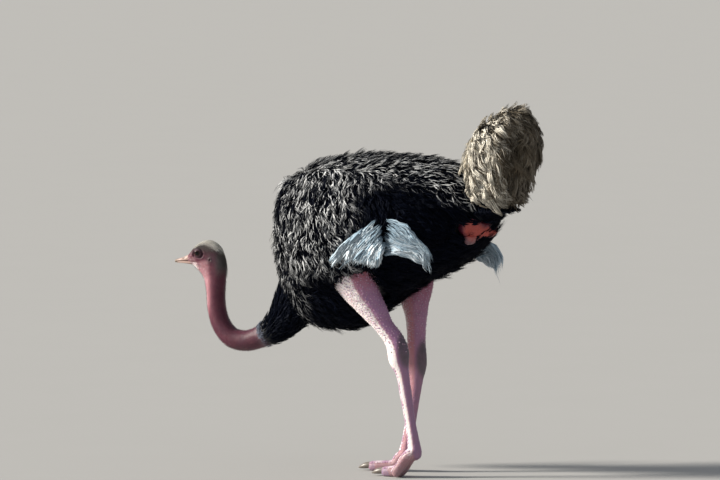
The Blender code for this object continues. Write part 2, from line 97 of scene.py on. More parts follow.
NECK = sizes(  # x, z, half width, reach up, reach down
    (-385, 835, 115, 120, 120),
    (-442, 758, 100, 108, 108),
    (-489, 682, 84, 92, 95),
    (-533, 628, 67, 74, 77),
    (-587, 585, 53, 59, 62),
    (-643, 556, 46, 48, 50),
    (-704, 540, 44, 46, 47),
    (-766, 552, 43, 45, 46),
    (-811, 600, 42, 43, 44),
    (-835, 673, 41, 42, 43),
    (-840, 752, 41, 44, 45),
    (-840, 798, 41, 48, 54),
)
COLLAR_ROW = 4.6
HEAD = sizes(  # top x and z, low x and z, half width, from the throat round to the brow
    (-792, 798.5, -894, 798.5, 41),
    (-790, 822, -902, 812, 41),
    (-791, 852, -911, 822, 41),
    (-798, 888, -919, 830, 41),
    (-812, 922, -927, 837, 41.5),
    (-836, 947, -934, 843, 42),
    (-866, 959, -940, 848, 42),
    (-893, 956, -945, 852, 41.5),
    (-915, 945, -950, 856, 40),
    (-935, 930, -956, 860, 36.5),
    (-950, 915, -962, 864, 30.5),
    (-962, 903, -967, 868, 23.5),
    (-970, 895, -971, 875, 15),
    (-974, 888, -974, 883, 4),
)
TAIL = sizes(  # x, z, half length, half width
    (425, 1098, 20, 24),
    (425, 1103, 80, 100),
    (426, 1130, 115, 140),
    (431, 1185, 136, 166),
    (441, 1265, 149, 182),
    (454, 1345, 155, 190),
    (468, 1415, 148, 180),
    (487, 1475, 123, 148),
    (510, 1525, 82, 98),
    (528, 1555, 44, 50),
    (533, 1566, 12, 14),
)
LEFT_LEG = sizes(  # x, distance from the middle plane, z, half width, reach ahead, reach back
    (-215, 140, 1020, 70, 120, 120),
    (-185, 160, 950, 78, 118, 118),
    (-151, 166, 866, 74, 108, 108),
    (-112, 160, 783, 62, 80, 81),
    (-87, 155, 741, 54, 65, 66),
    (-53, 149, 692, 46, 53, 55),
    (-16, 140, 634, 38, 38, 40),
    (24, 130, 576, 38, 40, 43),
    (40, 125, 528, 40, 45, 47),
    (44, 121, 492, 36, 45, 44),
    (53, 117, 456, 29, 32, 32),
    (71, 107, 340, 22, 25, 25),
    (90, 100, 215, 21, 23, 22),
    (101, 96, 142, 26, 26, 25),
    (107, 95, 100, 29, 29, 27),
)
RIGHT_LEG = sizes(
    (-80, 140, 1020, 70, 110, 110),
    (-45, 158, 930, 78, 112, 112),
    (-12, 166, 850, 74, 98, 98),
    (6, 162, 786, 64, 80, 78),
    (8, 155, 722, 54, 64, 62),
    (14, 150, 664, 45, 48, 48),
    (18, 141, 590, 38, 39, 40),
    (22, 131, 536, 37, 38, 40),
    (26, 125, 490, 38, 41, 43),
    (28, 122, 452, 36, 42, 43),
    (26, 116, 392, 29, 33, 32),
    (20, 110, 310, 22, 26, 25),
    (6, 104, 200, 21, 23, 23),
    (-5, 100, 118, 26, 26, 25),
    (-12, 98, 70, 30, 30, 28),
)
TOE = np.array([  # share of the length, half width, reach up, reach down
    (0.00, 0.026, 0.026, 0.026),
    (0.14, 0.029, 0.025, 0.030),
    (0.34, 0.030, 0.023, 0.034),
    (0.60, 0.031, 0.020, 0.036),
    (0.84, 0.029, 0.017, 0.036),
    (0.95, 0.022, 0.013, 0.034),
    (1.00, 0.010, 0.007, 0.020),
])
UPPER_BILL = sizes(  # x, half width, top, bottom
    (-938, 19, 904, 872.7),
    (-958, 21.5, 901, 872.2),
    (-975, 21, 892.5, 871.8),
    (-992, 19, 885.5, 870.8),
    (-1008, 15.5, 880.5, 869.5),
    (-1020, 11, 876.5, 867),
    (-1027, 6, 872.5, 864),
    (-1029, 2, 869, 865.5),
)
LOWER_BILL = sizes(
    (-938, 18.5, 872, 856),
    (-958, 20.5, 871.5, 858),
    (-978, 19.5, 871, 860.5),
    (-995, 17, 870, 861.5),
    (-1010, 12.5, 868.8, 862),
    (-1019, 7.5, 867.5, 862.5),
    (-1023, 2, 865.5, 863.5),
)
# Where the strands of the two white bunches run, in shares of the plume node's length and
# height: each line is one guide from root to tip.
FRONT_BUNCH = [
    [(0.181, 0.704), (0.126, 0.587), (0.078, 0.47), (0.029, 0.367), (-0.019, 0.265)],
    [(0.33, 0.917), (0.247, 0.748), (0.163, 0.573), (0.086, 0.385), (0.017, 0.197)],
    [(0.437, 0.993), (0.353, 0.81), (0.269, 0.621), (0.193, 0.405), (0.137, 0.186)],
    [(0.512, 0.863), (0.441, 0.703), (0.369, 0.528), (0.306, 0.355), (0.272, 0.211)],
    [(0.526, 0.695), (0.491, 0.56), (0.454, 0.421), (0.415, 0.277), (0.393, 0.156)],
    [(0.543, 0.536), (0.529, 0.45), (0.512, 0.368), (0.493, 0.281), (0.466, 0.166)],
]
REAR_BUNCH = [
    [(0.538, 0.43), (0.623, 0.46), (0.716, 0.427), (0.81, 0.355), (0.889, 0.256)],
    [(0.543, 0.584), (0.637, 0.54), (0.745, 0.479), (0.841, 0.39), (0.906, 0.224)],
    [(0.552, 0.753), (0.644, 0.652), (0.766, 0.545), (0.884, 0.421), (0.921, 0.149)],
    [(0.56, 0.921), (0.658, 0.799), (0.79, 0.658), (0.912, 0.501), (0.953, 0.17)],
    [(0.64, 1.091), (0.759, 1.006), (0.837, 0.784), (0.945, 0.553), (0.986, 0.301)],
]
PLACE = np.array([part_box("trunk")[0][0] - TRUNK[0][0], 0.0, 0.0])
EYE_CENTRE = np.array([-0.9090, 0.0235, 0.9065])
EYE_RADIUS = 0.0210
EYE_TILT = math.radians(12)
VENT_CENTRE = np.array([0.392, 0.0, 1.030])
VENT_HALF = np.array([0.040, 0.075, 0.055])


class Side(Enum):
    """The two sides of the bird, each with the sign of Y on it."""

    LEFT = -1
    RIGHT = 1

    @property
    def word(self) -> str:
        """The side's name as the nodes have it."""
        return self.name.lower()


# ---- sums on whole arrays
def columns(table: Array) -> Array:
    """The columns of a table of rows, whatever its shape."""
    return np.moveaxis(table, -1, 0)


def joined(*coordinates: Array) -> Array:
    """The points with these coordinates, spread to one shape first."""
    return np.stack(np.broadcast_arrays(*coordinates), axis=-1)


def unit(vectors: Array) -> Array:
    """The vectors at length one."""
    return vectors / np.maximum(np.linalg.norm(vectors, axis=-1, keepdims=True), 1e-9)


def dot(a: Array, b: Array) -> Array:
    """The dot products of two arrays of vectors."""
    return np.sum(a * b, axis=-1)


def turned_by(count: int) -> Array:
    """A row of angles that go evenly once round."""
    return TAU * np.arange(count)[None] / count


def facing(polar: Array, turn: Array) -> Array:
    """The directions at angles from Y and round it: (sin p cos t, cos p, sin p sin t)."""
    return joined(np.sin(polar) * np.cos(turn), np.cos(polar), np.sin(polar) * np.sin(turn))


def ease(low: float, high: float, value: Array) -> Array:
    """0 before low, 1 after high and 3t^2 - 2t^3 between; low may be the larger."""
    t = np.clip((value - low) / (high - low), 0.0, 1.0)
    return t * t * (3 - 2 * t)


def bell(value: Array, middle: float, width: float) -> Array:
    """The bell curve exp(-((value - middle) / width)^2)."""
    return np.exp(-(((value - middle) / width) ** 2))


def blob(points: Array, centre: tuple, reach: tuple) -> Array:
    """The bell exp(-d^2), with d the distance from a centre in reaches on each axis."""
    return np.exp(-(np.linalg.norm((points - centre) / reach, axis=1) ** 2))


def bent(values: Array, power: float) -> Array:
    """Values from -1 to 1 with the sign kept, raised to power, which squares off a circle."""
    return np.sign(values) * np.abs(values) ** power


def ripple(
    points: Array, pitch: float, seed: int, stretch: tuple[float, float, float] = (1.0, 1.0, 1.0)
) -> Array:
    """Smooth noise: the mean of sine waves that run in random directions.

    Args:
        points: where it is wanted.
        pitch: about how far apart its crests are, in metres.
        seed: picks the directions.
        stretch: squeezes the places on each axis first.

    Returns:
        About -1 to 1 at each point.
    """
    rng = np.random.default_rng(seed)
    ways = unit(rng.normal(size=(9, 3))) * (TAU / pitch) * rng.uniform(0.7, 1.4, (9, 1))
    phase = rng.uniform(0, TAU, 9)
    return np.sin((points * np.array(stretch)) @ ways.T + phase).mean(axis=-1) * 2.0


def cubic(t: Array, start: Array, leave: Array, end: Array, arrive: Array) -> Array:
    """The cubic from start to end that has these slopes at its ends, for t from 0 to 1."""
    return (
        (2 * t**3 - 3 * t**2 + 1) * start
        + (t**3 - 2 * t**2 + t) * leave
        + (3 * t**2 - 2 * t**3) * end
        + (t**3 - t**2) * arrive
    )


def weights(count: int, share: Array) -> Array:
    """Catmull-Rom weights: cubics between control points, with their mean slopes.

    Args:
        count: how many control points there are.
        share: places from 0 to 1 of the way through them.

    Returns:
        The weight of each control point at each place.
    """
    eye = np.eye(count)
    slope = np.gradient(eye, axis=0)
    place = np.clip(share, 0, 1) * (count - 1)
    i = np.minimum(place.astype(int), count - 2)
    return cubic((place - i)[..., None], eye[i], slope[i], eye[i + 1], slope[i + 1])


def nearest(points: Array, line: Array) -> tuple[Array, Array]:
    """The place on a line of points that is nearest to each point.

    Args:
        points: the points.
        line: the line's own points.

    Returns:
        That place as a share of the line, and how far it is.
    """
    share, far = np.empty(len(points)), np.empty(len(points))
    for part in np.array_split(np.arange(len(points)), max(1, len(points) // 20000)):
        own, its = (points[part] ** 2).sum(1)[:, None], (line**2).sum(1)[None]
        square = own + its - 2 * points[part] @ line.T
        share[part] = square.argmin(1) / (len(line) - 1)
        far[part] = np.sqrt(np.maximum(square.min(1), 0))
    return share, far


class Track:
    """A smooth curve through rows of numbers, measured in metres along its first columns."""

    def __init__(self, rows: Array, places: int = 3) -> None:
        """Keeps the rows with their distances and slopes.

        Args:
            rows: the numbers at each point of the curve.
            places: how many of the columns are places in space.
        """
        self.rows = rows
        steps = np.linalg.norm(np.diff(rows[:, :places], axis=0), axis=1)
        self.at = np.concatenate([[0.0], np.cumsum(steps)])
        slope = np.diff(rows, axis=0) / steps[:, None]
        inner = slope[:-1] * steps[1:, None] + slope[1:] * steps[:-1, None]
        inner = inner / (steps[:-1] + steps[1:])[:, None]
        self.slope = np.vstack([slope[:1], inner, slope[-1:]])

    def metres(self, row: float) -> float:
        """The distance along the curve of a row, which may lie between two."""
        return float(np.interp(row, np.arange(len(self.at)), self.at))

    def sample(self, places: Array) -> Array:
        """The rows at some distances, by cubics that share their slope at each row.

        Args:
            places: the distances.

        Returns:
            A row for each.
        """
        places = np.clip(places, 0.0, self.at[-1])
        i = np.clip(np.searchsorted(self.at, places, "right") - 1, 0, len(self.at) - 2)
        step = (self.at[i + 1] - self.at[i])[..., None]
        t = (places - self.at[i])[..., None] / step
        leave, arrive = self.slope[i] * step, self.slope[i + 1] * step
        return cubic(t, self.rows[i], leave, self.rows[i + 1], arrive)


# ---- surfaces of two numbers
class Shape:
    """A closed surface given by two numbers, the share along it and the share round it."""

    track: Track
    foot: float = 0.004  # the share along past which tufts hang free

    def rows(self, along: Array) -> Array:
        """The columns of the track at these shares along."""
        return columns(self.track.sample(along * self.track.at[-1]))

    def at(self, along: Array, around: Array) -> Array:
        """The points of the surface at these shares along and round."""
        raise NotImplementedError

    def middle(self, along: Array) -> Array:
        """The middle of the section at each share along."""
        raise NotImplementedError

    def slopes(self, along: Array, around: Array) -> tuple[Array, Array]:
        """How the surface moves for a unit along and for a unit round, by central differences.

        Args:
            along: the shares along.
            around: the shares round.

        Returns:
            The two slopes.
        """
        step = 0.003
        low, high = np.clip(along - step, 0, 1), np.clip(along + step, 0, 1)
        forth = (self.at(high, around) - self.at(low, around)) / (high - low)[..., None]
        return forth, (self.at(along, around + step) - self.at(along, around - step)) / (2 * step)

    def outward(self, along: Array, around: Array) -> Array:
        """The unit normal: the cross product of the slopes, turned away from the middle.

        Args:
            along: the shares along.
            around: the shares round.

        Returns:
            The normals.
        """
        normal = unit(np.cross(*self.slopes(along, around)))
        away = self.at(along, around) - self.middle(along)
        return normal * np.sign(dot(normal, away) + 1e-12)[..., None]

    def rings(self, rings: int, sides: int) -> Array:
        """The surface's points on an even grid."""
        along, around = np.linspace(0.0, 1.0, rings)[:, None], np.arange(sides)[None] / sides
        return self.at(*np.broadcast_arrays(along, around))


@dataclass
class TrunkShape(Shape):
    """The body: at each x an ellipse with its widest line a little above the middle.

    y = half cos(t) keel(t), z = widest + reach sin(t), both bent to be a little square.
    """

    inset: float = 0.0
    square: float = 0.92
    widest: float = 0.56
    keel: float = 0.14

    def __post_init__(self) -> None:
        """Draws the rows in by the inset, and keeps them open."""
        table = TRUNK.copy()
        if self.inset:
            x, middle = TRUNK[:, 0], (TRUNK[:, 1] + TRUNK[:, 2]) / 2
            table[:, 0] = np.interp(x, (x[0], x[-1]), (x[0] + self.inset, x[-1] - self.inset))
            table[:, 1] = np.maximum(table[:, 1] - self.inset, middle + 0.004)
            table[:, 2] = np.minimum(table[:, 2] + self.inset, middle - 0.004)
            table[:, 3] = np.maximum(table[:, 3] - self.inset, 0.005)
        self.track = Track(table, places=1)

    def at(self, along: Array, around: Array) -> Array:
        """The points of the surface."""
        x, top, bottom, half = self.rows(along)
        line = bottom + self.widest * (top - bottom)
        rise, out = np.sin(TAU * around), np.cos(TAU * around)
        reach = np.where(rise > 0, top - line, line - bottom)
        half = half * (1 - self.keel * np.clip(-rise, 0, 1) ** 2)
        return joined(x, half * bent(out, self.square), line + reach * bent(rise, self.square))

    def middle(self, along: Array) -> Array:
        """The middle of the section at each share along."""
        x, top, bottom, _ = self.rows(along)
        return joined(x, 0.0, bottom + self.widest * (top - bottom))

    def level(self, points: Array) -> Array:
        """How far out points lie, by the ellipse at their own x.

        Args:
            points: points anywhere.

        Returns:
            0 on the middle line of the body and 1 on its surface.
        """
        x, top, bottom, half = columns(self.track.sample(points[..., 0] - self.track.rows[0, 0]))
        line = bottom + self.widest * (top - bottom)
        reach = np.where(points[..., 2] > line, top - line, line - bottom)
        high = (points[..., 2] - line) / np.maximum(reach, 1e-4)
        wide = points[..., 1] / np.maximum(half, 1e-4)
        beyond = np.abs(points[..., 0] - np.clip(points[..., 0], x.min(), x.max()))
        return np.sqrt(high**2 + wide**2) + beyond * 50


@dataclass
class WingShape(Shape):
    """A folded wing: at each x a lens that curves in over the back and under the flank."""

    side: Side
    inset: float = 0.0
    lean_in: float = 0.085
    tuck: float = 0.030

    def __post_init__(self) -> None:
        """Keeps the rows, drawn in by the inset."""
        table = WING.copy()
        if self.inset:
            table[:, 1] -= np.minimum(self.inset, (table[:, 1] - table[:, 2]) * 0.4)
            table[:, 2] += np.minimum(self.inset, (table[:, 1] - table[:, 2]) * 0.4)
            table[:, 4] = np.maximum(table[:, 4] - self.inset, 0.004)
        self.track = Track(table, places=1)

    def at(self, along: Array, around: Array) -> Array:
        """The points off (1 - lean) + thick cos(t), middle + high sin(t), bent a little square."""
        x, top, bottom, off, thick = self.rows(along)
        rise = bent(np.sin(TAU * around), 0.85)
        lean = np.where(rise > 0, self.lean_in, self.tuck) * rise**2 * (thick / 0.067)
        y = self.side.value * (off - lean) + thick * bent(np.cos(TAU * around), 0.85)
        return joined(x, y, (top + bottom) / 2 + (top - bottom) / 2 * rise)

    def middle(self, along: Array) -> Array:
        """A place well inside the body, so that outward is off the flank."""
        x, top, bottom, off, _ = self.rows(along)
        return joined(x, self.side.value * (off - 0.2), (top + bottom) / 2)

    def hides(self, points: Array) -> Array:
        """True where the folded wing lies over the body."""
        x, y, z = columns(points)
        _, top, bottom, _, _ = columns(self.track.sample(x - WING[0][0]))
        inside = (z > bottom + 0.03) & (z < top - 0.05) & (y * self.side.value > 0.05)
        return inside & (x > -0.46) & (x < 0.25)


@dataclass
class TubeShape(Shape):
    """A tube along a track of x, y, z, half width, reach ahead and reach back.

    A point is centre + half cos(t) across + reach sin(t) above, square to the track.
    """

    track: Track
    square: float = 1.0

    def axes(self, along: Array) -> tuple[Array, Array]:
        """The directions across and above at each share along."""
        here = along * self.track.at[-1]
        ahead = unit((self.track.sample(here + 0.004) - self.track.sample(here - 0.004))[..., :3])
        across = unit(np.array([0.0, 1.0, 0.0]) - ahead * ahead[..., 1:2])
        return across, np.cross(across, ahead)

    def at(self, along: Array, around: Array) -> Array:
        """The points of the surface."""
        along, around = np.broadcast_arrays(along, around)
        x, y, z, half, up, down = self.rows(along)
        across, above = self.axes(along)
        rise, out = np.sin(TAU * around), half * bent(np.cos(TAU * around), self.square)
        high = np.where(rise > 0, up, down) * bent(rise, self.square)
        return joined(x, y, z) + out[..., None] * across + high[..., None] * above

    def middle(self, along: Array) -> Array:
        """The middle of the section at each share along."""
        return np.moveaxis(self.rows(along)[:3], 0, -1)


@dataclass
class HeadShape(Shape):
    """The head: slices between its top line and its jaw line, each an ellipse a little square."""

    inset: float = 0.0
    square: float = 0.93

    def __post_init__(self) -> None:
        """Keeps the rows, drawn in by the inset."""
        table = HEAD.copy()
        pull = self.inset * unit(table[:, :2] - table[:, 2:4])
        table[:, :2] -= pull
        table[:, 2:4] += pull
        table[:, 4] = np.maximum(table[:, 4] - self.inset, 0.003)
        self.track = Track(table, places=2)

    def at(self, along: Array, around: Array) -> Array:
        """The points of the surface."""
        along, around = np.broadcast_arrays(along, around)
        x_top, z_top, x_low, z_low, half = self.rows(along)
        rise = bent(np.sin(TAU * around), self.square)
        x = (x_top + x_low) / 2 + (x_top - x_low) / 2 * rise
        z = (z_top + z_low) / 2 + (z_top - z_low) / 2 * rise
        return joined(x, half * bent(np.cos(TAU * around), self.square), z)

    def middle(self, along: Array) -> Array:
        """The middle of the slice at each share along."""
        x_top, z_top, x_low, z_low, _ = self.rows(along)
        return joined((x_top + x_low) / 2, 0.0, (z_top + z_low) / 2)


@dataclass
class TailShape(Shape):
    """The tail: at each height an oval, swollen into bunches and hollowed on one side."""

    inset: float = 0.0
    lobes: int = 7
    lobe_depth: float = 0.05
    foot: float = 0.21

    def __post_init__(self) -> None:
        """Keeps the rows, drawn in by the inset."""
        table = np.insert(TAIL, 1, 0.0, axis=1)
        table[:, 3:] = np.maximum(table[:, 3:] - self.inset, table[:, 3:] * 0.3)
        middle = table[:, 2].mean()
        table[:, 2] = middle + (table[:, 2] - middle) * (1 - 2 * self.inset)
        self.track = Track(table)

    @staticmethod
    def hollow(along: Array, around: Array, wide: float, middle: float, long: float) -> Array:
        """1 in the hollow of the outer side and 0 away from it."""
        gap = (around - 0.885 + 0.5) % 1.0 - 0.5
        return bell(gap, 0.0, wide) * bell(along, middle, long)

    def at(self, along: Array, around: Array) -> Array:
        """The points x + length cos(t) swell, width sin(t) swell, drawn in behind low down."""
        x, _, z, length, width = self.rows(along)
        turn = TAU * around
        lobes = np.cos(self.lobes * turn + 4 * along) * np.sin(math.pi * along)
        hollow = 0.26 * self.hollow(along, around, 0.055, 0.64, 0.17)
        swell = 1 + self.lobe_depth * lobes - hollow
        drawn = 1 - 0.30 * ease(0.0, 0.9, np.cos(turn)) * ease(1.37, 1.14, z)
        return joined(x + length * np.cos(turn) * swell * drawn, width * np.sin(turn) * swell, z)

    def middle(self, along: Array) -> Array:
        """The middle of the oval at each share along."""
        x, _, z, _, _ = self.rows(along)
        return joined(x, 0.0, z)


def bare_patch(points: Array) -> Array:
    """How far points lie from the bare patch under the tail, widest on each side of the rump.

    Args:
        points: points anywhere.

    Returns:
        0 in its middle and 1 on its rim.
    """
    x, y, z = columns(points)
    side = ease(0.02, 0.09, np.abs(y))
    ahead = (x - 0.424 + 0.052 * side) / 0.043
    return np.hypot(ahead, (z - 1.024 - 0.016 * side) / (0.020 + 0.036 * side))


def leg_shape(side: Side, rows: Array) -> TubeShape:
    """A leg's tube, ended by a knuckle below the joint whose girth goes as sqrt(1 - s^2).

    Args:
        side: the side it is on.
        rows: its sections.

    Returns:
        The tube.
    """
    table = rows * np.array([1, side.value, 1, 1, 1, 1])
    down = unit(table[-1, :3] - table[-2, :3])
    knuckle = np.repeat(table[-1:], 3, axis=0)
    share = np.array([0.55, 0.85, 1.0])
    knuckle[:, :3] += share[:, None] * 0.030 * down
    knuckle[:, 3:] *= np.sqrt(1 - (0.98 * share) ** 2)[:, None]
    return TubeShape(Track(np.vstack([table, knuckle])))


def toe_shape(joint: Array, heading: float, length: float, size: float) -> TubeShape:
    """A toe's tube, which comes down from the joint by a smooth step and lies along the floor.

    Args:
        joint: where it starts.
        heading: the angle it points outwards by.
        length: its length.
        size: its girth as a share of the middle toe's.

    Returns:
        The tube.
    """
    share, steps = TOE[:, 0], np.linspace(0.0, 1.0, 41)
    rest = 0.023 * size
    ramp = np.clip(steps * length / (1.75 * (joint[2] - rest)), 0, 1)
    height = rest + (joint[2] - rest) * (1 - ramp * ramp * (3 - 2 * ramp))
    ahead = np.sqrt(np.clip((length / 40) ** 2 - np.diff(height) ** 2, 1e-8, None))
    out = np.interp(share, steps, np.concatenate([[0.0], np.cumsum(ahead)]))
    x, y = joint[0] - out * math.cos(heading), joint[1] + out * math.sin(heading)
    spine = joined(x, y, np.interp(share, steps, height))
    return TubeShape(Track(np.hstack([spine, size * TOE[:, 1:]])), square=0.9)


@dataclass
class FootShape:
    """The leg and the two toes of one side."""

    side: Side
    rows: Array
    leg: TubeShape = field(init=False)
    middle_toe: TubeShape = field(init=False)
    outer_toe: TubeShape = field(init=False)
    heading: float = field(init=False)

    def __post_init__(self) -> None:
        """Sets the toes on the joint of the leg."""
        sign = self.side.value
        self.leg = leg_shape(self.side, self.rows)
        joint = self.leg.track.rows[len(self.rows) - 1, :3]
        self.heading = -sign * math.radians(2)
        self.middle_toe = toe_shape(joint, self.heading, 0.185, 1.0)
        beside = joint + np.array([0.0, sign * 0.017, 0.0])
        self.outer_toe = toe_shape(beside, sign * math.radians(22), 0.128, 0.76)


FEET = {
    Side.LEFT: FootShape(Side.LEFT, LEFT_LEG),
    Side.RIGHT: FootShape(Side.RIGHT, RIGHT_LEG),
}
NECK_TUBE = TubeShape(Track(np.insert(NECK, 1, 0.0, axis=1)))
COLLAR = NECK_TUBE.track.metres(COLLAR_ROW) / NECK_TUBE.track.at[-1]


# ---- meshes
def shell_faces(rings: int, sides: int) -> tuple[Array, Array]:
    """The faces of rings of points closed by a point at each end.

    Points are numbered the first pole, the rings in turn, the last pole.

    Args:
        rings: how many rings there are.
        sides: how many points each ring has.

    Returns:
        The triangles of the two fans and the quads between rings, as rows of numbers.
    """
    j = np.arange(sides)
    after = (j + 1) % sides
    last = 1 + (rings - 1) * sides
    fans = joined(0, 1 + after, 1 + j), joined(1 + rings * sides, last + j, last + after)
    start = 1 + sides * np.arange(rings - 1)[:, None]
    quads = joined(start + j, start + after, start + sides + after, start + sides + j)
    return np.vstack(fans), quads.reshape(-1, 4)


@dataclass
class Piece:
    """Points and faces, with a map and three numbers for each point."""

    points: Array
    triangles: Array
    quads: Array
    chart: Array
    tone: Array
    reach: Array
    light: Array

    @staticmethod
    def join(pieces: list["Piece"]) -> "Piece":
        """One piece of several."""
        starts = np.cumsum([0] + [len(p.points) for p in pieces[:-1]])
        stacked = {
            name: np.concatenate([getattr(p, name) for p in pieces])
            for name in ("points", "chart", "tone", "reach", "light")
        }
        for name in ("triangles", "quads"):
            stacked[name] = np.concatenate([getattr(p, name) + s for p, s in zip(pieces, starts)])
        return Piece(**stacked)

    def made(self, name: str, material: Material) -> Object:
        """The mesh object of this piece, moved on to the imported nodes.

        Args:
            name: the object's name.
            material: its finish.

        Returns:
            The object, with its map and its three attributes.
        """
        mesh = bpy.data.meshes.new(name)
        mesh.from_pydata(self.points + PLACE, [], self.triangles.tolist() + self.quads.tolist())
        mesh.shade_smooth()
        chart = mesh.uv_layers.new(name="OFBake")
        corner = np.empty(len(mesh.loops), np.int32)
        mesh.loops.foreach_get("vertex_index", corner)
        chart.data.foreach_set("uv", np.clip(self.chart, 0, 1)[corner].ravel().astype(np.float32))
        for word in ("tone", "reach", "light"):
            numbers = mesh.attributes.new(word, "FLOAT", "POINT")
            numbers.data.foreach_set("value", getattr(self, word).astype(np.float32))
        mesh.materials.append(material)
        made = bpy.data.objects.new(name, mesh)
        bpy.context.scene.collection.objects.link(made)
        log.info("%s: %d triangles", name, len(self.triangles) + 2 * len(self.quads))
        return made


def grid_piece(points: Array, tone: float = 0.5, reach: float = 0.0, light: float = 0.5) -> Piece:
    """A closed piece of rows of rings, each pole the middle of its end ring.

    Args:
        points: rings by sides by 3.
        tone: its tone all over.
        reach: its reach all over.
        light: its light all over.

    Returns:
        The piece, its faces turned outwards.
    """
    rings, sides = points.shape[:2]
    triangles, quads = shell_faces(rings, sides)
    poles = points[0].mean(axis=0)[None], points[-1].mean(axis=0)[None]
    corners = np.concatenate([poles[0], points.reshape(-1, 3), poles[1]])
    a, b, c, d = (corners[quads[:, k]] for k in range(4))
    if np.sum(dot(np.cross(b - a, c - a) + np.cross(c - a, d - a), a - corners.mean(axis=0))) < 0:
        triangles, quads = triangles[:, ::-1], quads[:, ::-1]
    u = np.repeat(np.linspace(0.02, 0.98, rings), sides)
    v = np.tile(np.linspace(0.02, 0.98, sides), rings)
    chart = joined(np.r_[0.005, u, 0.995], np.r_[0.5, v, 0.5])
    full = np.ones(len(corners))
    return Piece(corners, triangles, quads, chart, tone * full, reach * full, light * full)


# ---- tufts
@dataclass(frozen=True)
class Growth:
    """How one kind of tuft grows, in metres and shares."""

    count: int
    length: float
    width: float
    thin: float = 0.22  # thickness as a share of the width
    root: float = 0.028  # how deep its root sits
    lift: float = 0.004  # how far off the coat its tip stands
    wave: float = 0.06  # how far it waves from side to side, as a share of its length
    droop: float = 0.0  # how far its tip hangs, as a share of its length
    stray: float = 0.25  # how far it strays from the lie of the coat, in radians
    vary: float = 0.3  # how much lengths differ
    sides: int = 3
    steps: int = 5
    blunt: float = 0.6  # below 1 it is widest near its root
    crowd: int = 0  # how many tufts share a lock, or 0 for none
    pull: float = 0.6  # how far their tips draw together
    swirl: float = 0.10  # the distance over which the lie of the coat wanders
    rough: float = 0.0  # how much some locks stand off the others, in metres


class Roots:
    """Places on a shape that tufts grow from, in space and as shares along and round it."""

    def __init__(self, shape: Shape, along: Array, around: Array) -> None:
        """Works out the points in space."""
        self.shape, self.along, self.around = shape, along, around
        self.points = shape.at(along, around)
        self.x, self.y, self.z = columns(self.points)

    @property
    def forth(self) -> Array:
        """How the shape moves for a unit along it."""
        return self.shape.slopes(self.along, self.around)[0]

    @property
    def normal(self) -> Array:
        """The way out of the coat."""
        return self.shape.outward(self.along, self.around)


Field = Callable[[Roots], Array]  # a number, or a direction, for each root


def scatter(shape: Shape, count: int, density: Field, seed: int) -> Roots:
    """Roots spread evenly over a shape.

    The area times the density is summed over a fine grid. The points (i a, i b) mod 1 are
    carried through the running sums along the shape and then round it, and each is
    nudged by a third of the usual gap.

    Args:
        shape: the surface.
        count: how many roots.
        density: how thick they stand, 0 for none to 1.
        seed: picks the nudges.

    Returns:
        The roots.
    """
    long, wide = 240, 120
    rows, turns = (np.arange(long) + 0.5) / long, (np.arange(wide) + 0.5) / wide
    grid = np.meshgrid(0.004 + 0.992 * rows, turns, indexing="ij")
    cells = Roots(shape, grid[0].ravel(), grid[1].ravel())
    area = np.linalg.norm(np.cross(*shape.slopes(cells.along, cells.around)), axis=-1)
    amount = (area * density(cells)).reshape(long, wide) + 1e-12
    down = np.r_[0.0, np.cumsum(amount.sum(axis=1))]
    number = np.arange(count) + 0.5
    first, second = (number * 0.7548776662) % 1.0, (number * 0.5698402910) % 1.0
    row = np.clip(np.searchsorted(down, first * down[-1], side="right") - 1, 0, long - 1)
    into = (first * down[-1] - down[row]) / (down[row + 1] - down[row])
    sums = np.cumsum(amount, axis=1) / amount.sum(axis=1, keepdims=True)
    flat = (sums + np.arange(long)[:, None]).ravel()
    column = np.clip(np.searchsorted(flat, row + second) - row * wide, 0, wide - 1)
    before = np.where(column > 0, sums[row, column - 1], 0.0)
    part = (second - before) / np.maximum(sums[row, column] - before, 1e-12)
    along, around = 0.004 + 0.992 * (row + into) / long, (column + np.clip(part, 0, 1)) / wide
    forth, turned = shape.slopes(along, around)
    gap = 0.33 * math.sqrt(amount.sum() / (long * wide * count))
    nudge = gap * np.random.default_rng(seed).normal(0, 1, (2, count))
    along = along + nudge[0] / np.maximum(np.linalg.norm(forth, axis=-1), 0.02)
    around = around + nudge[1] / np.maximum(np.linalg.norm(turned, axis=-1), 0.02)
    return Roots(shape, np.clip(along, 0.004, 0.996), around)


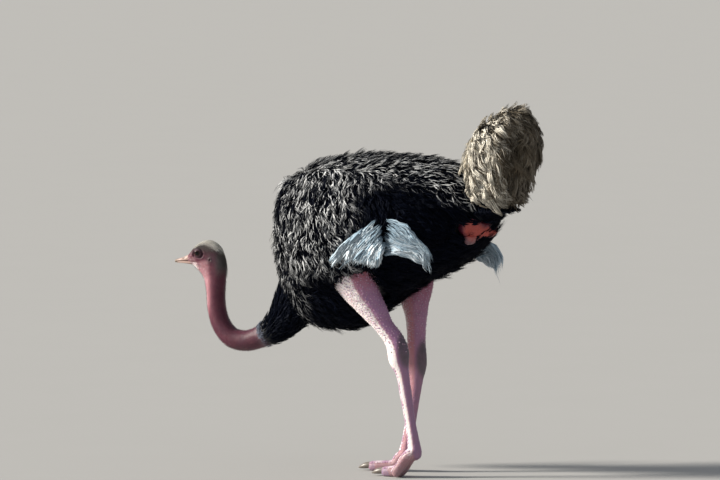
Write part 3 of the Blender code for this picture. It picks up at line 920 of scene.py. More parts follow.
def tuft_piece(
    spine: Array,
    normal: Array,
    width: Array,
    growth: Growth,
    chart: Array,
    tone: Array,
    light: Array,
) -> Piece:
    """Closed tufts round their spines.

    Each ring is spine + half width (cos(t) side + thin sin(t) up), half width going as
    sin(pi s^blunt)^0.8 from the root, s = 0, to the tip, s = 1.

    Args:
        spine: tufts by steps + 1 by 3.
        normal: the way out of the coat at each of those points.
        width: the greatest width of each tuft.
        growth: its sides, thinness and bluntness.
        chart: where each root lies on the unwrap.
        tone: a number for each tuft.
        light: another.

    Returns:
        The tufts as one piece.
    """
    count, stations = spine.shape[:2]
    ahead = unit(np.gradient(spine, axis=1))
    side = unit(np.cross(normal, ahead))
    up = np.cross(ahead, side)
    s = np.linspace(0, 1, stations)
    half = 0.5 * width[:, None] * np.sin(math.pi * s**growth.blunt) ** 0.8
    turn = TAU * (np.arange(growth.sides) + 0.25) / growth.sides
    inner = slice(1, stations - 1)
    shape = (
        np.cos(turn)[:, None] * side[:, inner, None, :]
        + growth.thin * np.sin(turn)[:, None] * up[:, inner, None, :]
    )
    rings = spine[:, inner, None, :] + half[:, inner, None, None] * shape
    size = (stations - 2) * growth.sides + 2
    points = np.concatenate([spine[:, :1], rings.reshape(count, -1, 3), spine[:, -1:]], axis=1)
    triangles, quads = shell_faces(stations - 2, growth.sides)
    start = size * np.arange(count)[:, None, None]
    patch = 0.003
    u = np.r_[0.0, np.repeat(s[inner], growth.sides), 1.0] - 0.5
    v = np.r_[0.5, np.tile(np.linspace(0, 1, growth.sides), stations - 2), 0.5] - 0.5
    low, high = chart.min(axis=0), chart.max(axis=0)
    spot = 0.01 + 0.98 * (chart - low) / np.maximum(high - low, 1e-6)
    return Piece(
        points.reshape(-1, 3),
        (triangles[None] + start).reshape(-1, 3),
        (quads[None] + start).reshape(-1, 4),
        (spot[:, None, :] + patch * joined(u, v)[None]).reshape(-1, 2),
        np.repeat(tone, size),
        np.tile(u + 0.5, count),
        np.repeat(light, size),
    )


def course(roots: Roots, way: Array, length: Array) -> Array:
    """How far along and round a tuft runs to go a length in a direction.

    The direction is laid on the surface by least squares on its two slopes.

    Args:
        roots: the tufts' roots.
        way: the directions in space.
        length: the lengths in metres.

    Returns:
        The steps along and round, as two columns.
    """
    forth, turned = roots.shape.slopes(roots.along, roots.around)
    a, b, c = dot(forth, forth), dot(forth, turned), dot(turned, turned)
    e, f = dot(forth, way), dot(turned, way)
    found = joined(c * e - b * f, a * f - b * e) / (a * c - b * b + 1e-12)[:, None]
    moved = found[:, :1] * forth + found[:, 1:] * turned
    return found * (length / np.maximum(np.linalg.norm(moved, axis=-1), 1e-6))[:, None]


def leaders(points: Array, crowd: int) -> Array:
    """The tuft that leads each tuft: every crowd-th one leads those nearest to it.

    Args:
        points: a point of each tuft.
        crowd: how many tufts there are to each leader.

    Returns:
        The number of each tuft's leader.
    """
    chosen = np.arange(0, len(points), crowd)
    found = np.empty(len(points), int)
    for part in np.array_split(np.arange(len(points)), max(1, len(points) // 1500)):
        gap = points[part][:, None, :] - points[chosen][None]
        found[part] = chosen[dot(gap, gap).argmin(axis=1)]
    return found


def grow(
    shape: Shape,
    growth: Growth,
    density: Field,
    lie: Field,
    seed: int,
    light: Field | None = None,
    fringe: Field | None = None,
) -> Piece:
    """Tufts over a shape, each along the lie of the coat.

    Args:
        shape: the surface of the coat.
        growth: the kind of tuft.
        density: where they grow.
        lie: the direction that tufts lie in.
        seed: picks the places and sizes.
        light: a number for each root, used by the finish.
        fringe: how much longer and looser tufts are at each root.

    Returns:
        The tufts as one piece.
    """
    rng = np.random.default_rng(seed)
    roots = scatter(shape, growth.count, density, seed)
    count, places, normal = growth.count, roots.points, roots.normal
    more = fringe(roots) if fringe else np.zeros(count)
    length = growth.length * rng.uniform(1 - growth.vary, 1 + growth.vary, count) * (1 + more)
    way = unit(lie(roots))
    way = way - normal * dot(way, normal)[:, None]
    wander = 0.8 * ripple(places, growth.swirl, seed) + 0.45 * rng.normal(0, 1, count)
    angle = growth.stray * wander[:, None]
    way = np.cos(angle) * way + np.sin(angle) * np.cross(normal, way)
    step = course(roots, way, length)
    s = np.linspace(0, 1, growth.steps + 1)
    u, v = roots.along[:, None] + step[:, :1] * s, roots.around[:, None] + step[:, 1:] * s
    held = np.clip(u, shape.foot, 0.996)
    free = np.clip(np.abs(u - held) / np.maximum(np.abs(step[:, :1]), 1e-9), 0, 1)
    free = free * length[:, None] * 0.35
    base, out = shape.at(held, v) + free[..., None] * way[:, None], shape.outward(held, v)
    lift = growth.lift * rng.uniform(0.2, 1.8, count) * (1 + 1.5 * more)
    height = -growth.root + (growth.root + lift)[:, None] * s**0.55
    side = np.cross(out, unit(np.gradient(base, axis=1)))
    phase = TAU * ripple(places, growth.swirl, seed + 1)[:, None] + rng.normal(0, 0.7, (count, 1))
    turns = rng.uniform(0.5, 1.1, (count, 1))
    wave = growth.wave * length[:, None] * (np.sin(phase + TAU * turns * s) - np.sin(phase)) * s
    curl = growth.wave * length[:, None] * 0.5 * np.cos(phase * 3 + TAU * turns * s) * s * s
    spine = base + out * (height + curl)[..., None] + side * wave[..., None]
    spine[..., 2] -= growth.droop * length[:, None] * (1 + more[:, None]) * s**2
    tone = rng.uniform(0, 1, count)
    if growth.crowd:
        leader = leaders(spine[:, growth.steps // 2], growth.crowd)
        spine += growth.pull * (s**1.3)[None, :, None] * (spine[leader] - spine)
        spine += out * (growth.rough * rng.normal(0, 1, count)[leader][:, None] * s)[..., None]
        tone = 0.6 * tone + 0.4 * tone[leader]
    width = growth.width * rng.uniform(0.7, 1.3, count)
    glow = light(roots) if light else np.full(count, 0.5)
    tone = np.clip(tone + 0.15 * ripple(places, 0.05, seed + 2), 0, 1)
    return tuft_piece(spine, out, width, growth, joined(roots.along, roots.around), tone, glow)


# ---- node kit
class Sum:
    """A socket of numbers, so that shader maths is written as ordinary sums."""

    def __init__(self, kit: "Kit", socket: Socket) -> None:
        self.kit, self.socket = kit, socket

    def _math(self, operation: str, first: object, second: object, clamp: bool = False) -> "Sum":
        """A Math node of two values."""
        settings = {"operation": operation, "use_clamp": clamp}
        return self.kit.sum("ShaderNodeMath", settings, {0: first, 1: second})

    def __add__(self, other: object) -> "Sum":
        """self + other."""
        return self._math("ADD", self, other)

    def __sub__(self, other: object) -> "Sum":
        """self - other."""
        return self._math("SUBTRACT", self, other)

    def __rsub__(self, other: object) -> "Sum":
        """other - self."""
        return self._math("SUBTRACT", other, self)

    def __mul__(self, other: object) -> "Sum":
        """self * other."""
        return self._math("MULTIPLY", self, other)

    __radd__ = __add__
    __rmul__ = __mul__

    def clipped(self) -> "Sum":
        """The value kept between 0 and 1."""
        return self._math("ADD", self, 0.0, clamp=True)

    def rise(self, low: float, high: float) -> "Sum":
        """0 below low, 1 above high and a smooth step between."""
        values = {"Value": self, "From Min": low, "From Max": high}
        return self.kit.sum("ShaderNodeMapRange", {"interpolation_type": "SMOOTHSTEP"}, values)


Colour = tuple[float, float, float]


class Kit:
    """Makes the nodes of one material."""

    def __init__(self, name: str) -> None:
        """An empty material with its Principled shader.

        Args:
            name: the material's name.
        """
        self.material = bpy.data.materials.new(name)
        self.material.use_nodes = True
        self.tree = self.material.node_tree
        self.shader = self.tree.nodes["Principled BSDF"]

    def feed(self, socket: Socket, value: object) -> None:
        """Links or sets one socket.

        Args:
            socket: the socket to feed.
            value: a sum, another socket, a colour or a number.
        """
        if isinstance(value, Sum):
            value = value.socket
        if isinstance(value, Socket):
            self.tree.links.new(value, socket)
        elif isinstance(value, tuple) and len(value) == 3 and socket.type == "RGBA":
            socket.default_value = (*value, 1.0)
        else:
            socket.default_value = value

    def add(self, kind: str, settings: dict, values: dict) -> bpy.types.Node:
        """Adds one node.

        Args:
            kind: its type.
            settings: its own settings, which are set first.
            values: the values or links of its sockets.

        Returns:
            The node.
        """
        node = self.tree.nodes.new(kind)
        for word, value in settings.items():
            setattr(node, word, value)
        for word, value in values.items():
            self.feed(node.inputs[word], value)
        return node

    def sum(self, kind: str, settings: dict, values: dict, out: str | int = 0) -> Sum:
        """Adds one node and gives one of its outputs as a number."""
        return Sum(self, self.add(kind, settings, values).outputs[out])

    def number(self, name: str) -> Sum:
        """A number kept on the mesh."""
        return self.sum("ShaderNodeAttribute", {"attribute_name": name}, {}, "Fac")

    def place(self, scale: tuple[float, float, float] = (1.0, 1.0, 1.0)) -> Socket:
        """Object coordinates, stretched on each axis."""
        spot = self.add("ShaderNodeTexCoord", {}, {}).outputs["Object"]
        return self.add("ShaderNodeMapping", {}, {"Vector": spot, "Scale": scale}).outputs[0]

    def noise(self, scale: float, detail: float = 3.0, where: Socket | None = None) -> Sum:
        """Noise from 0 to 1, scale waves to a metre."""
        values = {"Vector": where or self.place(), "Scale": scale, "Detail": detail}
        return self.sum("ShaderNodeTexNoise", {}, values)

    def cells(self, scale: float) -> Sum:
        """Distance from the middles of scale cells to a metre."""
        values = {"Vector": self.place(), "Scale": scale}
        return self.sum("ShaderNodeTexVoronoi", {"feature": "F1"}, values, "Distance")

    def blend(self, first: object, second: object, share: object) -> Socket:
        """A colour between two."""
        node = self.add("ShaderNodeMix", {"data_type": "RGBA"}, {0: share, 6: first, 7: second})
        return node.outputs[2]

    def bump(self, height: Sum, strength: float, distance: float) -> Socket:
        """A normal from a height."""
        values = {"Height": height, "Strength": strength, "Distance": distance}
        return self.add("ShaderNodeBump", {}, values).outputs[0]

    def finish(self, **sockets: object) -> Material:
        """Sets the shader's sockets, named with _ for a space, and gives the material."""
        for word, value in sockets.items():
            self.feed(self.shader.inputs[word.replace("_", " ")], value)
        return self.material


# ---- finishes
@dataclass(frozen=True)
class FeatherFinish:
    """Loose plumage: dark at the root, partly its own colour and partly painted shade deep in the
    coat, its own colour along the tuft, and painted highlights on the tips here and there.
    """

    name: str
    deep: Colour
    body: Colour
    tip: Colour
    start: float = 0.5  # the tone above which a tuft has the tip's colour
    roughness: float = 0.55
    gloss: float = 0.3

    def made(self) -> Material:
        """Blends root, body and tip by the tuft's tone and the reach from its root; the tip colour
        is a painted highlight, laid on where the light number is high.

        Returns:
            The material.
        """
        kit = Kit(self.name)
        reach = kit.number("reach")
        share = kit.number("tone") * 0.75 + kit.noise(240.0, 2.0) * 0.25
        colour = kit.blend(self.deep, self.body, (reach.rise(0.0, 0.5) * share).clipped())
        # painted highlight: tufts of high tone take the tip colour from part way along, as far as
        # the light number allows
        bright = share.rise(self.start - 0.05, self.start + 0.08) * reach.rise(0.12, 0.45)
        colour = kit.blend(colour, self.tip, (bright * kit.number("light")).clipped())
        return kit.finish(
            Base_Color=colour, Roughness=self.roughness, Specular_IOR_Level=self.gloss
        )


@dataclass(frozen=True)
class SkinFinish:
    """Bare skin: pink, flushed, dusky, pale and callused by the numbers kept on the mesh; the pale
    mark is partly painted light, the violet mark is painted shade and the wine mark partly painted
    shade.
    """

    name: str = "bare_skin"
    pink: Colour = (0.46, 0.175, 0.215)
    flush: Colour = (0.135, 0.013, 0.032)
    # painted shade on the legs' side away from the key light
    violet: Colour = (0.35, 0.185, 0.35)
    ember: Colour = (0.42, 0.065, 0.048)
    # dark maroon skin, darkened further as painted shade on the face and neck and round the rim of
    # the vent
    wine: Colour = (0.055, 0.004, 0.024)
    dusk: Colour = (0.062, 0.052, 0.060)
    # pale skin, also painted light on the legs' lit front and under the crest
    pale: Colour = (0.96, 0.86, 0.86)
    callus: Colour = (0.17, 0.155, 0.16)
    coat: Colour = (0.006, 0.007, 0.010)

    def made(self) -> Material:
        """Lays each mark's colour over the last, by its number broken up with noise.

        Returns:
            The material.
        """
        kit = Kit(self.name)
        fine, broad, pale = kit.noise(420.0, 4.0), kit.noise(38.0, 4.0), kit.number("pale")
        # the pale mark's edge broken by noise, which breaks the edge of the painted light on the
        # legs
        broken = (pale + (kit.noise(170.0, 3.0) - 0.5) * 0.9).rise(0.35, 0.70) * 0.75
        marks = {
            "flush": kit.number("flush") + (broad - 0.5) * 0.5,
            "violet": kit.number("violet") + (broad - 0.5) * 0.3,
            "ember": kit.number("ember") * (broad * 0.8 + 0.6),
            "wine": kit.number("wine") * (broad * 0.8 + 0.6),
            "pale": (broken + pale * 0.25) * pale.rise(0.0, 0.3),
            "dusk": kit.number("dusk") * (broad * 0.5 + 0.75),
            "callus": kit.number("callus") * (fine * 0.6 + 0.6),
            "coat": kit.number("coat"),
        }
        colour = self.pink
        for word, share in marks.items():
            colour = kit.blend(colour, getattr(self, word), share.clipped())
        height = fine * 0.5 + (1.0 - kit.cells(190.0).rise(0.0, 0.7)) * 0.9
        return kit.finish(
            Base_Color=colour,
            Roughness=0.50,
            Subsurface_Weight=0.12,
            Subsurface_Scale=0.008,
            Normal=kit.bump(height, 0.45, 0.0016),
        )


@dataclass(frozen=True)
class HornFinish:
    """Bill, claws and scales: horn with growth lines, a worn tip and a nostril slit painted dark as
    shade; the worn colour is also painted light on the legs' pebbles.
    """

    name: str
    body: Colour
    # worn horn, and painted light on the pebbles
    worn: Colour
    roughness: float = 0.38
    # painted shade inside the nostril slit
    slit: Colour = (0.03, 0.02, 0.02)

    def made(self) -> Material:
        """Blends body and worn horn by the light number along lines of stretched noise; on the
        pebbles that number is painted light.

        Returns:
            The material.
        """
        kit = Kit(self.name)
        lines = kit.noise(90.0, 3.0, kit.place((1.0, 4.0, 4.0)))
        share = (kit.number("light") + (lines - 0.5) * 0.9).clipped()
        colour = kit.blend(self.body, self.worn, share)
        return kit.finish(
            # the reach number lays the painted shade of the nostril slit
            Base_Color=kit.blend(colour, self.slit, kit.number("reach").clipped()),
            Roughness=(lines * 0.2 + (self.roughness - 0.1)),
            Normal=kit.bump(lines, 0.3, 0.0008),
        )


@dataclass(frozen=True)
class EyeFinish:
    """A dark brown iris round a wide black pupil, under a wet surface."""

    name: str = "eye_wet"
    pupil: Colour = (0.002, 0.002, 0.002)
    iris: Colour = (0.030, 0.013, 0.007)
    rays: Colour = (0.06, 0.028, 0.014)
    rim: Colour = (0.012, 0.008, 0.007)

    def made(self) -> Material:
        """Blends the rings of the eye by the angle from its front.

        Returns:
            The material.
        """
        kit = Kit(self.name)
        out = kit.number("reach")
        colour = kit.blend(self.iris, self.rays, kit.noise(900.0, 3.0).rise(0.45, 0.7))
        colour = kit.blend(self.pupil, colour, out.rise(0.34, 0.38))
        colour = kit.blend(colour, self.rim, out.rise(0.52, 0.62))
        return kit.finish(Base_Color=colour, Roughness=0.05, IOR=1.34, Specular_IOR_Level=0.5)


@dataclass(frozen=True)
class FloorFinish:
    """The plain pale floor."""

    name: str = "studio_floor"
    colour: Colour = (0.40, 0.395, 0.385)
    patches: Colour = (0.39, 0.385, 0.375)

    def made(self) -> Material:
        """The material."""
        kit = Kit(self.name)
        shade = kit.blend(self.colour, self.patches, kit.noise(2.0))
        return kit.finish(Base_Color=shade, Roughness=0.85)


# ---- the skin
def settled(made: Object) -> None:
    """Applies the modifiers of an object to its mesh.

    Args:
        made: the object.
    """
    graph = bpy.context.evaluated_depsgraph_get()
    fresh = bpy.data.meshes.new_from_object(made.evaluated_get(graph))
    old, made.data = made.data, fresh
    made.modifiers.clear()
    bpy.data.meshes.remove(old)


def read(rows: bpy.types.bpy_prop_collection, word: str) -> Array:
    """Reads three numbers from each of a mesh's elements.

    Args:
        rows: the elements.
        word: the name of the numbers.

    Returns:
        A row for each.
    """
    numbers = np.empty(len(rows) * 3, np.float32)
    rows.foreach_get(word, numbers)
    return numbers.reshape(-1, 3).astype(float)


def read_points(mesh: Mesh) -> Array:
    """The mesh's points, in the bird's own frame."""
    return read(mesh.vertices, "co") - PLACE


def write_points(mesh: Mesh, points: Array) -> None:
    """Puts the points back."""
    mesh.vertices.foreach_set("co", (points + PLACE).astype(np.float32).ravel())
    mesh.update()


def smooth(mesh: Mesh, passes: int, where: Callable[[Array], Array] | None = None) -> None:
    """Moves points half way to the mean of their neighbours, several times.

    Args:
        mesh: the mesh.
        passes: how many times.
        where: picks the points that move, all of them if left out.
    """
    points = read_points(mesh)
    count = len(points)
    share = 0.5 * (where(points) if where else np.ones(count))
    edges = np.empty(len(mesh.edges) * 2, np.int32)
    mesh.edges.foreach_get("vertices", edges)
    one, two = edges.reshape(-1, 2).T
    degree = np.bincount(one, minlength=count) + np.bincount(two, minlength=count)
    for _ in range(passes):
        total = joined(
            *(
                np.bincount(one, points[two, k], count) + np.bincount(two, points[one, k], count)
                for k in range(3)
            )
        )
        points = points + share[:, None] * (total / np.maximum(degree, 1)[:, None] - points)
    write_points(mesh, points)


@dataclass
class Skin:
    """One closed skin over body, neck, head, legs and toes, with the marks it is painted by."""

    voxel: float = 0.0048
    depth: float = 0.034
    eye_length: float = 0.0128
    eye_height: float = 0.0102

    def forms(self) -> list[Piece]:
        """The closed forms that the skin is drawn over, the body let out at the bare patch.

        Returns:
            Body, neck, head, legs, toes and the swellings of the vent.
        """
        body = TrunkShape(inset=self.depth).rings(130, 80)
        outer = TrunkShape(inset=0.004).rings(130, 80)
        body += ease(1.12, 0.94, bare_patch(outer))[..., None] * (outer - body)
        under = NECK_TUBE.track.rows.copy()
        under[:, 3:] -= 0.003 + 0.018 * ease(COLLAR_ROW + 0.6, 0.0, np.arange(len(under)))[:, None]
        neck = TubeShape(Track(under)).rings(150, 40)
        parts = [body, neck, HeadShape(inset=0.0035).rings(90, 64)]
        for foot in FEET.values():
            parts.append(foot.leg.rings(110, 32))
            for toe in (foot.middle_toe, foot.outer_toe):
                rings = toe.rings(50, 28)
                rings[..., 2] = np.maximum(rings[..., 2], 0.0005)
                parts.append(rings)
        for centre, half in (
            (VENT_CENTRE, VENT_HALF * np.array([0.8, 0.9, 0.5])),
            ((0.352, -0.104, 1.004), (0.026, 0.030, 0.024)),
            ((0.352, 0.104, 1.004), (0.026, 0.030, 0.024)),
            ((0.412, 0.0, 1.030), (0.024, 0.036, 0.011)),
        ):
            parts.append(self.ball(centre, half))
        return [grid_piece(part) for part in parts]

    @staticmethod
    def ball(centre: Array, half: Array) -> Array:
        """Rings of an egg: centre + half (sin p cos t, cos p, sin p sin t)."""
        way = facing(np.linspace(0.05, math.pi - 0.05, 22)[:, None], turned_by(28))
        return np.array(centre) + np.array(half) * way

    def build(self, material: Material) -> Object:
        """The skin: its forms drawn into one, refined on the head, folded and marked.

        Args:
            material: its finish.

        Returns:
            The object.
        """
        skin = Piece.join(self.forms()).made("skin", material)
        drawn = skin.modifiers.new("Drawn together", "REMESH")
        drawn.mode, drawn.voxel_size = "VOXEL", self.voxel
        settled(skin)
        smooth(skin.data, 4)
        self.thin_under_coat(skin)
        self.refine(skin.data, self.on_head, 2)
        smooth(skin.data, 6, self.on_head)
        self.refine(skin.data, self.by_eye, 1)
        normals = read(skin.data.vertex_normals, "vector")
        write_points(skin.data, self.folded(read_points(skin.data), normals))
        for name, numbers in self.marks(read_points(skin.data)).items():
            kept = skin.data.attributes.new(name, "FLOAT", "POINT")
            kept.data.foreach_set("value", np.clip(numbers, 0, 1).astype(np.float32))
        skin.data.shade_smooth()
        skin.data.materials.clear()
        skin.data.materials.append(material)
        log.info("skin: %d triangles", sum(len(p.vertices) - 2 for p in skin.data.polygons))
        return skin

    def thin_under_coat(self, skin: Object) -> None:
        """Draws together the small faces that the coat hides.

        Args:
            skin: the skin.
        """
        hidden = self.covered(read_points(skin.data)) > 0.5
        group = skin.vertex_groups.new(name="hidden")
        group.add(np.flatnonzero(hidden).tolist(), 1.0, "REPLACE")
        thinned = skin.modifiers.new("Thinned", "DECIMATE")
        thinned.ratio = 1 - 0.86 * float(hidden.mean())
        thinned.vertex_group, thinned.vertex_group_factor = "hidden", 1.0
        settled(skin)
        skin.vertex_groups.clear()

    def covered(self, points: Array) -> Array:
        """How far feathers hide the skin.

        Args:
            points: the skin's points.

        Returns:
            1 where they hide it and 0 where it is bare.
        """
        body = ease(1.16, 1.08, TrunkShape(inset=self.depth).level(points))
        body *= ease(0.90, 1.1, bare_patch(points))
        share, far = nearest(points, NECK_TUBE.middle(np.linspace(0, 1, 160)))
        base = ease(COLLAR + 0.005, COLLAR - 0.02, share) * (far < 0.13) * (points[:, 0] < -0.38)
        return np.maximum(body, base)

    @staticmethod
    def on_head(points: Array) -> Array:
        """True on the head."""
        return (points[:, 0] < -0.775) & (points[:, 2] > 0.80)

    @staticmethod
    def by_eye(points: Array) -> Array:
        """True round each eye."""
        gap = np.hypot(points[:, 0] - EYE_CENTRE[0], points[:, 2] - EYE_CENTRE[2])
        return (gap < 0.027) & (np.abs(points[:, 1]) > 0.018) & (points[:, 2] > 0.86)

    @staticmethod
    def refine(mesh: Mesh, where: Callable[[Array], Array], cuts: int) -> None:
        """Cuts each edge of a region into cuts + 1.

        Args:
            mesh: the mesh.
            where: picks the points of the region.
            cuts: how many cuts an edge gets.
        """
        shape = bmesh.new()
        shape.from_mesh(mesh)
        chosen = where(read_points(mesh))
        shape.verts.ensure_lookup_table()
        edges = [e for e in shape.edges if chosen[e.verts[0].index] and chosen[e.verts[1].index]]
        bmesh.ops.subdivide_edges(shape, edges=edges, cuts=cuts, use_grid_fill=True)
        shape.to_mesh(mesh)
        shape.free()
        mesh.update()

    def eye_sums(self, points: Array) -> tuple[Array, Array, Array]:
        """Each point's place about the eye on its side.

        Args:
            points: the skin's points.

        Returns:
            How far ahead, up and out of the opening it is, the last 1 on the rim.
        """
        dx, dz = points[:, 0] - EYE_CENTRE[0], points[:, 2] - EYE_CENTRE[2]
        ahead = (-dx * math.cos(EYE_TILT) - dz * math.sin(EYE_TILT)) / self.eye_length
        above = (-dx * math.sin(EYE_TILT) + dz * math.cos(EYE_TILT)) / self.eye_height
        out = np.hypot(ahead, above * (1 + 0.12 * ahead))
        return ahead, above, np.where(np.abs(points[:, 1]) > 0.012, out, 9.0)

    def folded(self, points: Array, normals: Array) -> Array:
        """The skin with its lids, folds, gape, ears and wrinkles.

        Round the eye the skin is drawn to the ball's height sqrt(R^2 - d^2) plus a lid's
        thickness and dips under the ball inside the opening; elsewhere bells and waves move
        it along its normals.

        Args:
            points: the skin's points.
            normals: their normals.

        Returns:
            The moved points.
        """
        x, y, z = points.T
        ahead, above, out = self.eye_sums(points)
        head = self.on_head(points)
        gap = np.hypot(x - EYE_CENTRE[0], z - EYE_CENTRE[2])
        ball = EYE_CENTRE[1] + np.sqrt(np.maximum(EYE_RADIUS**2 - gap**2, 0.0))
        lid = ball + 0.0014 + 0.0007 * (above > 0)
        fold = 0.0010 * bell(out, 1.22, 0.14) - 0.0011 * bell(out, 1.55, 0.10)
        fold += 0.0008 * bell(out, 1.80, 0.14) - 0.0006 * bell(out, 2.05, 0.10)
        target = np.where(out > 1.0, lid + fold, lid) - ease(1.04, 0.86, out) * 0.0058
        drawn = ease(2.3, 1.25, out) * head
        wide = np.where(out < 2.3, np.abs(y) * (1 - drawn) + target * drawn, np.abs(y))
        points = joined(x, np.sign(y) * wide, z)
        wide = np.abs(points[:, 1])
        q = joined(x, wide, z)
        push = 0.0040 * bell(above, 1.9 - 0.25 * ahead, 0.5) * bell(ahead, 0.3, 1.5)
        push *= wide > 0.012
        push -= 0.0016 * blob(q, (-0.940, 0.032, 0.884), (0.013, 0.02, 0.008))
        push += 0.0015 * blob(q, (-0.885, 0.040, 0.862), (0.022, 0.03, 0.014))
        push *= head
        over = z - 0.8690 + 0.12 * np.clip(x + 0.935, 0, 0.03)
        gape = ease(-0.902, -0.912, x) * (wide > 0.006) * head
        push += gape * (0.0010 * bell(over, -0.0042, 0.0022) - 0.0022 * bell(over, 0.0, 0.0013))
        ear = np.hypot((x + 0.8530) / 0.0052, (z - 0.8800) / 0.0062)
        ear = np.where((wide > 0.02) & head, ear, 9.0)
        push += 0.0016 * bell(ear, 1.25, 0.35) - 0.0045 * ease(0.9, 0.3, ear)
        bare_neck = ease(-0.60, -0.66, x) * ease(0.92, 0.86, z) * (out > 2.5)
        rings = ripple(points, 0.016, 5, (0.35, 0.25, 1.0)) * ease(0.62, 0.70, z)
        rings += ripple(points, 0.016, 6, (1.0, 0.25, 0.35)) * ease(0.70, 0.60, z)
        push += 0.0003 * bare_neck * rings
        legs = ease(0.95, 0.80, z) * (x > -0.36)
        push += 0.0011 * legs * ripple(points, 0.034, 7) * ease(0.5, 0.6, z)
        push += 0.0006 * legs * ripple(points, 0.013, 8, (1.0, 1.0, 1.6))
        vent = ease(1.5, 1.1, bare_patch(points))
        push += vent * (0.0014 * ripple(points, 0.018, 9) + 0.0007 * ripple(points, 0.007, 10))
        calm = np.where(out < 2.0, 0.3, 1.0)
        return points + normals * (push * calm)[:, None]

    @staticmethod
    def leg_marks(points: Array) -> tuple[Array, Array, Array]:
        """Where points lie on the legs, from the way they face about the leg's middle line towards
        the key light's side.

        Args:
            points: the skin's points.

        Returns:
            1 on the callused back of the ankle, on the front painted lit and on the back away from
            the light.
        """
        ankle, front, back = np.zeros((3, len(points)))
        for foot, row in zip(FEET.values(), (8.0, 8.8)):
            track = foot.leg.track
            pad = track.sample(np.array([track.metres(row)]))[0, :3] + (0.040, 0.0, 0.016)
            behind = np.linalg.norm((points - pad) / (0.042, 0.05, 0.082), axis=1)
            ankle = np.maximum(ankle, ease(1.25, 0.75, behind))
            near, gap = nearest(points, foot.leg.middle(np.linspace(0, 1, 120)))
            # turned: how far a point faces towards the key light's side, where the lit strip is
            # painted
            turned = dot(points - foot.leg.middle(near), np.array([-0.96, -0.28, 0.0]))
            turned = turned / np.maximum(gap, 1e-4)
            front = np.maximum(front, ease(-0.08, 0.38, turned) * (gap < 0.13))
            back = np.maximum(back, ease(0.35, 0.9, -turned) * (gap < 0.13))
        return ankle, front, back

    def marks(self, points: Array) -> dict[str, Array]:
        """How flushed, dusky, pale, callused and covered the skin is, and where light and shade are
        painted on it.

        Each mark is a sum of regions of the bird, a region a product of smooth steps.

        Args:
            points: the skin's points.

        Returns:
            The numbers that the finish is painted by, under their names.
        """
        x, y, z = points.T
        right, covered, vent = y > 0, self.covered(points), bare_patch(points)
        share, _ = nearest(points, NECK_TUBE.middle(np.linspace(0, 1, 160)))
        rear = vent < 1.6
        front = x < -0.55
        head = front & (z > 0.80)
        neck = front & ~head
        high = ease(0.60, 0.70, z)
        line = 0.872 + 0.25 * (x + 0.90)
        # the throat below the jaw line: paler skin with a painted highlight along the jaw
        throat = ease(-0.842, -0.872, x) * high * ease(0.012, -0.012, z - line)
        flush = 0.95 * front + rear * 0.95 - 0.45 * throat
        flush = flush - 0.35 * ease(-0.825, -0.860, x) * high * ease(0.86, 0.78, z) * front
        # the skin under the crest is painted pale: painted light on the top of the head
        crest = ease(0.032, 0.014, np.abs(y)) * ease(0.915, 0.935, z) * head
        crown = ease(0.912, 0.935, z + 0.10 * (x + 0.88)) * head
        nape = ease(-0.835, -0.805, x) * head * ease(0.80, 0.88, z)
        behind = head * ease(-0.845, -0.825, x) * ease(0.80, 0.87, z)
        ear = bell(np.hypot((x + 0.853) / 0.015, (z - 0.884) / 0.017), 0.0, 1.0) * head
        socket = bell(np.hypot((x + 0.909) / 0.020, (z - 0.907) / 0.017), 0.9, 0.35) * head
        dusk = 0.9 * crown * (1 - crest) + 0.7 * (nape + ear) + 0.5 * socket + 0.4 * behind
        dusk += neck * (0.10 * ease(-0.80, -0.72, x) + 0.06 * ease(0.66, 0.58, z))
        gape = head * ease(-0.905, -0.93, x) * ease(0.90, 0.885, z)
        # painted light: the lit front edge of the upper neck, kept clear of the painted shade
        lit_edge = ease(-0.838, -0.872, x) * high * ease(0.84, 0.79, z)
        pale = 0.30 * rear * (z < 1.014) * (x > 0.2) + 0.34 * throat + 0.36 * gape + 0.75 * crest
        pale += 0.25 * bell(share, COLLAR + 0.012, 0.018) * neck
        legs = (x > -0.36) & (covered < 0.5) & (vent > 1.2)
        ankle, ahead, back = self.leg_marks(points)
        # painted light: a pale strip down each leg on the side towards the key light
        painted_lit_strip = 0.95 * ahead * np.where(right, 0.20, 1.0) * (0.3 + 0.7 * ease(0.06, 0.16, z))
        warm = 0.05 + 0.75 * ease(0.74, 0.93, z) + 0.35 * right * ease(0.60, 0.80, z)
        warm += 0.40 * back * ease(0.62, 0.75, z)
        thigh = np.where(right, 0.35 * ease(0.60, 0.86, z), 0.30 * ease(0.76, 0.90, z))
        # the legs away from their painted lit strip, where the painted violet shade goes
        shaded = legs * (1 - ahead)
        # the face and neck's dark maroon, darkened as painted shade
        wine = 0.62 * front * (1 - throat) * (1 - gape) * (1 - lit_edge)
        return {
            "flush": flush + shaded * np.clip(warm, 0, 1),
            "violet": 0.85 * shaded * ease(0.92, 0.72, z) * (1 - 0.25 * right),
            "dusk": dusk + 0.85 * ankle * legs,
            "pale": pale + legs * painted_lit_strip,
            "ember": rear * ease(1.25, 0.75, vent) + shaded * thigh,
            # painted shade round the rim of the vent
            "wine": wine + 0.8 * rear * ease(0.50, 0.95, vent),
            "callus": legs * (0.25 * ease(0.50, 0.42, z) + 0.35 * ease(0.10, 0.02, z)),
            "coat": covered,
        }


# ---- feathers
# Blue-black plumage: its blue tint is painted shade, and its pale tip colour a painted glint.
BLACK = FeatherFinish(
    "black_plumage", (0.0003, 0.0010, 0.0038), (0.0010, 0.0034, 0.0130), (0.82, 0.83, 0.84),
    start=0.54, roughness=0.6, gloss=0.05,
)
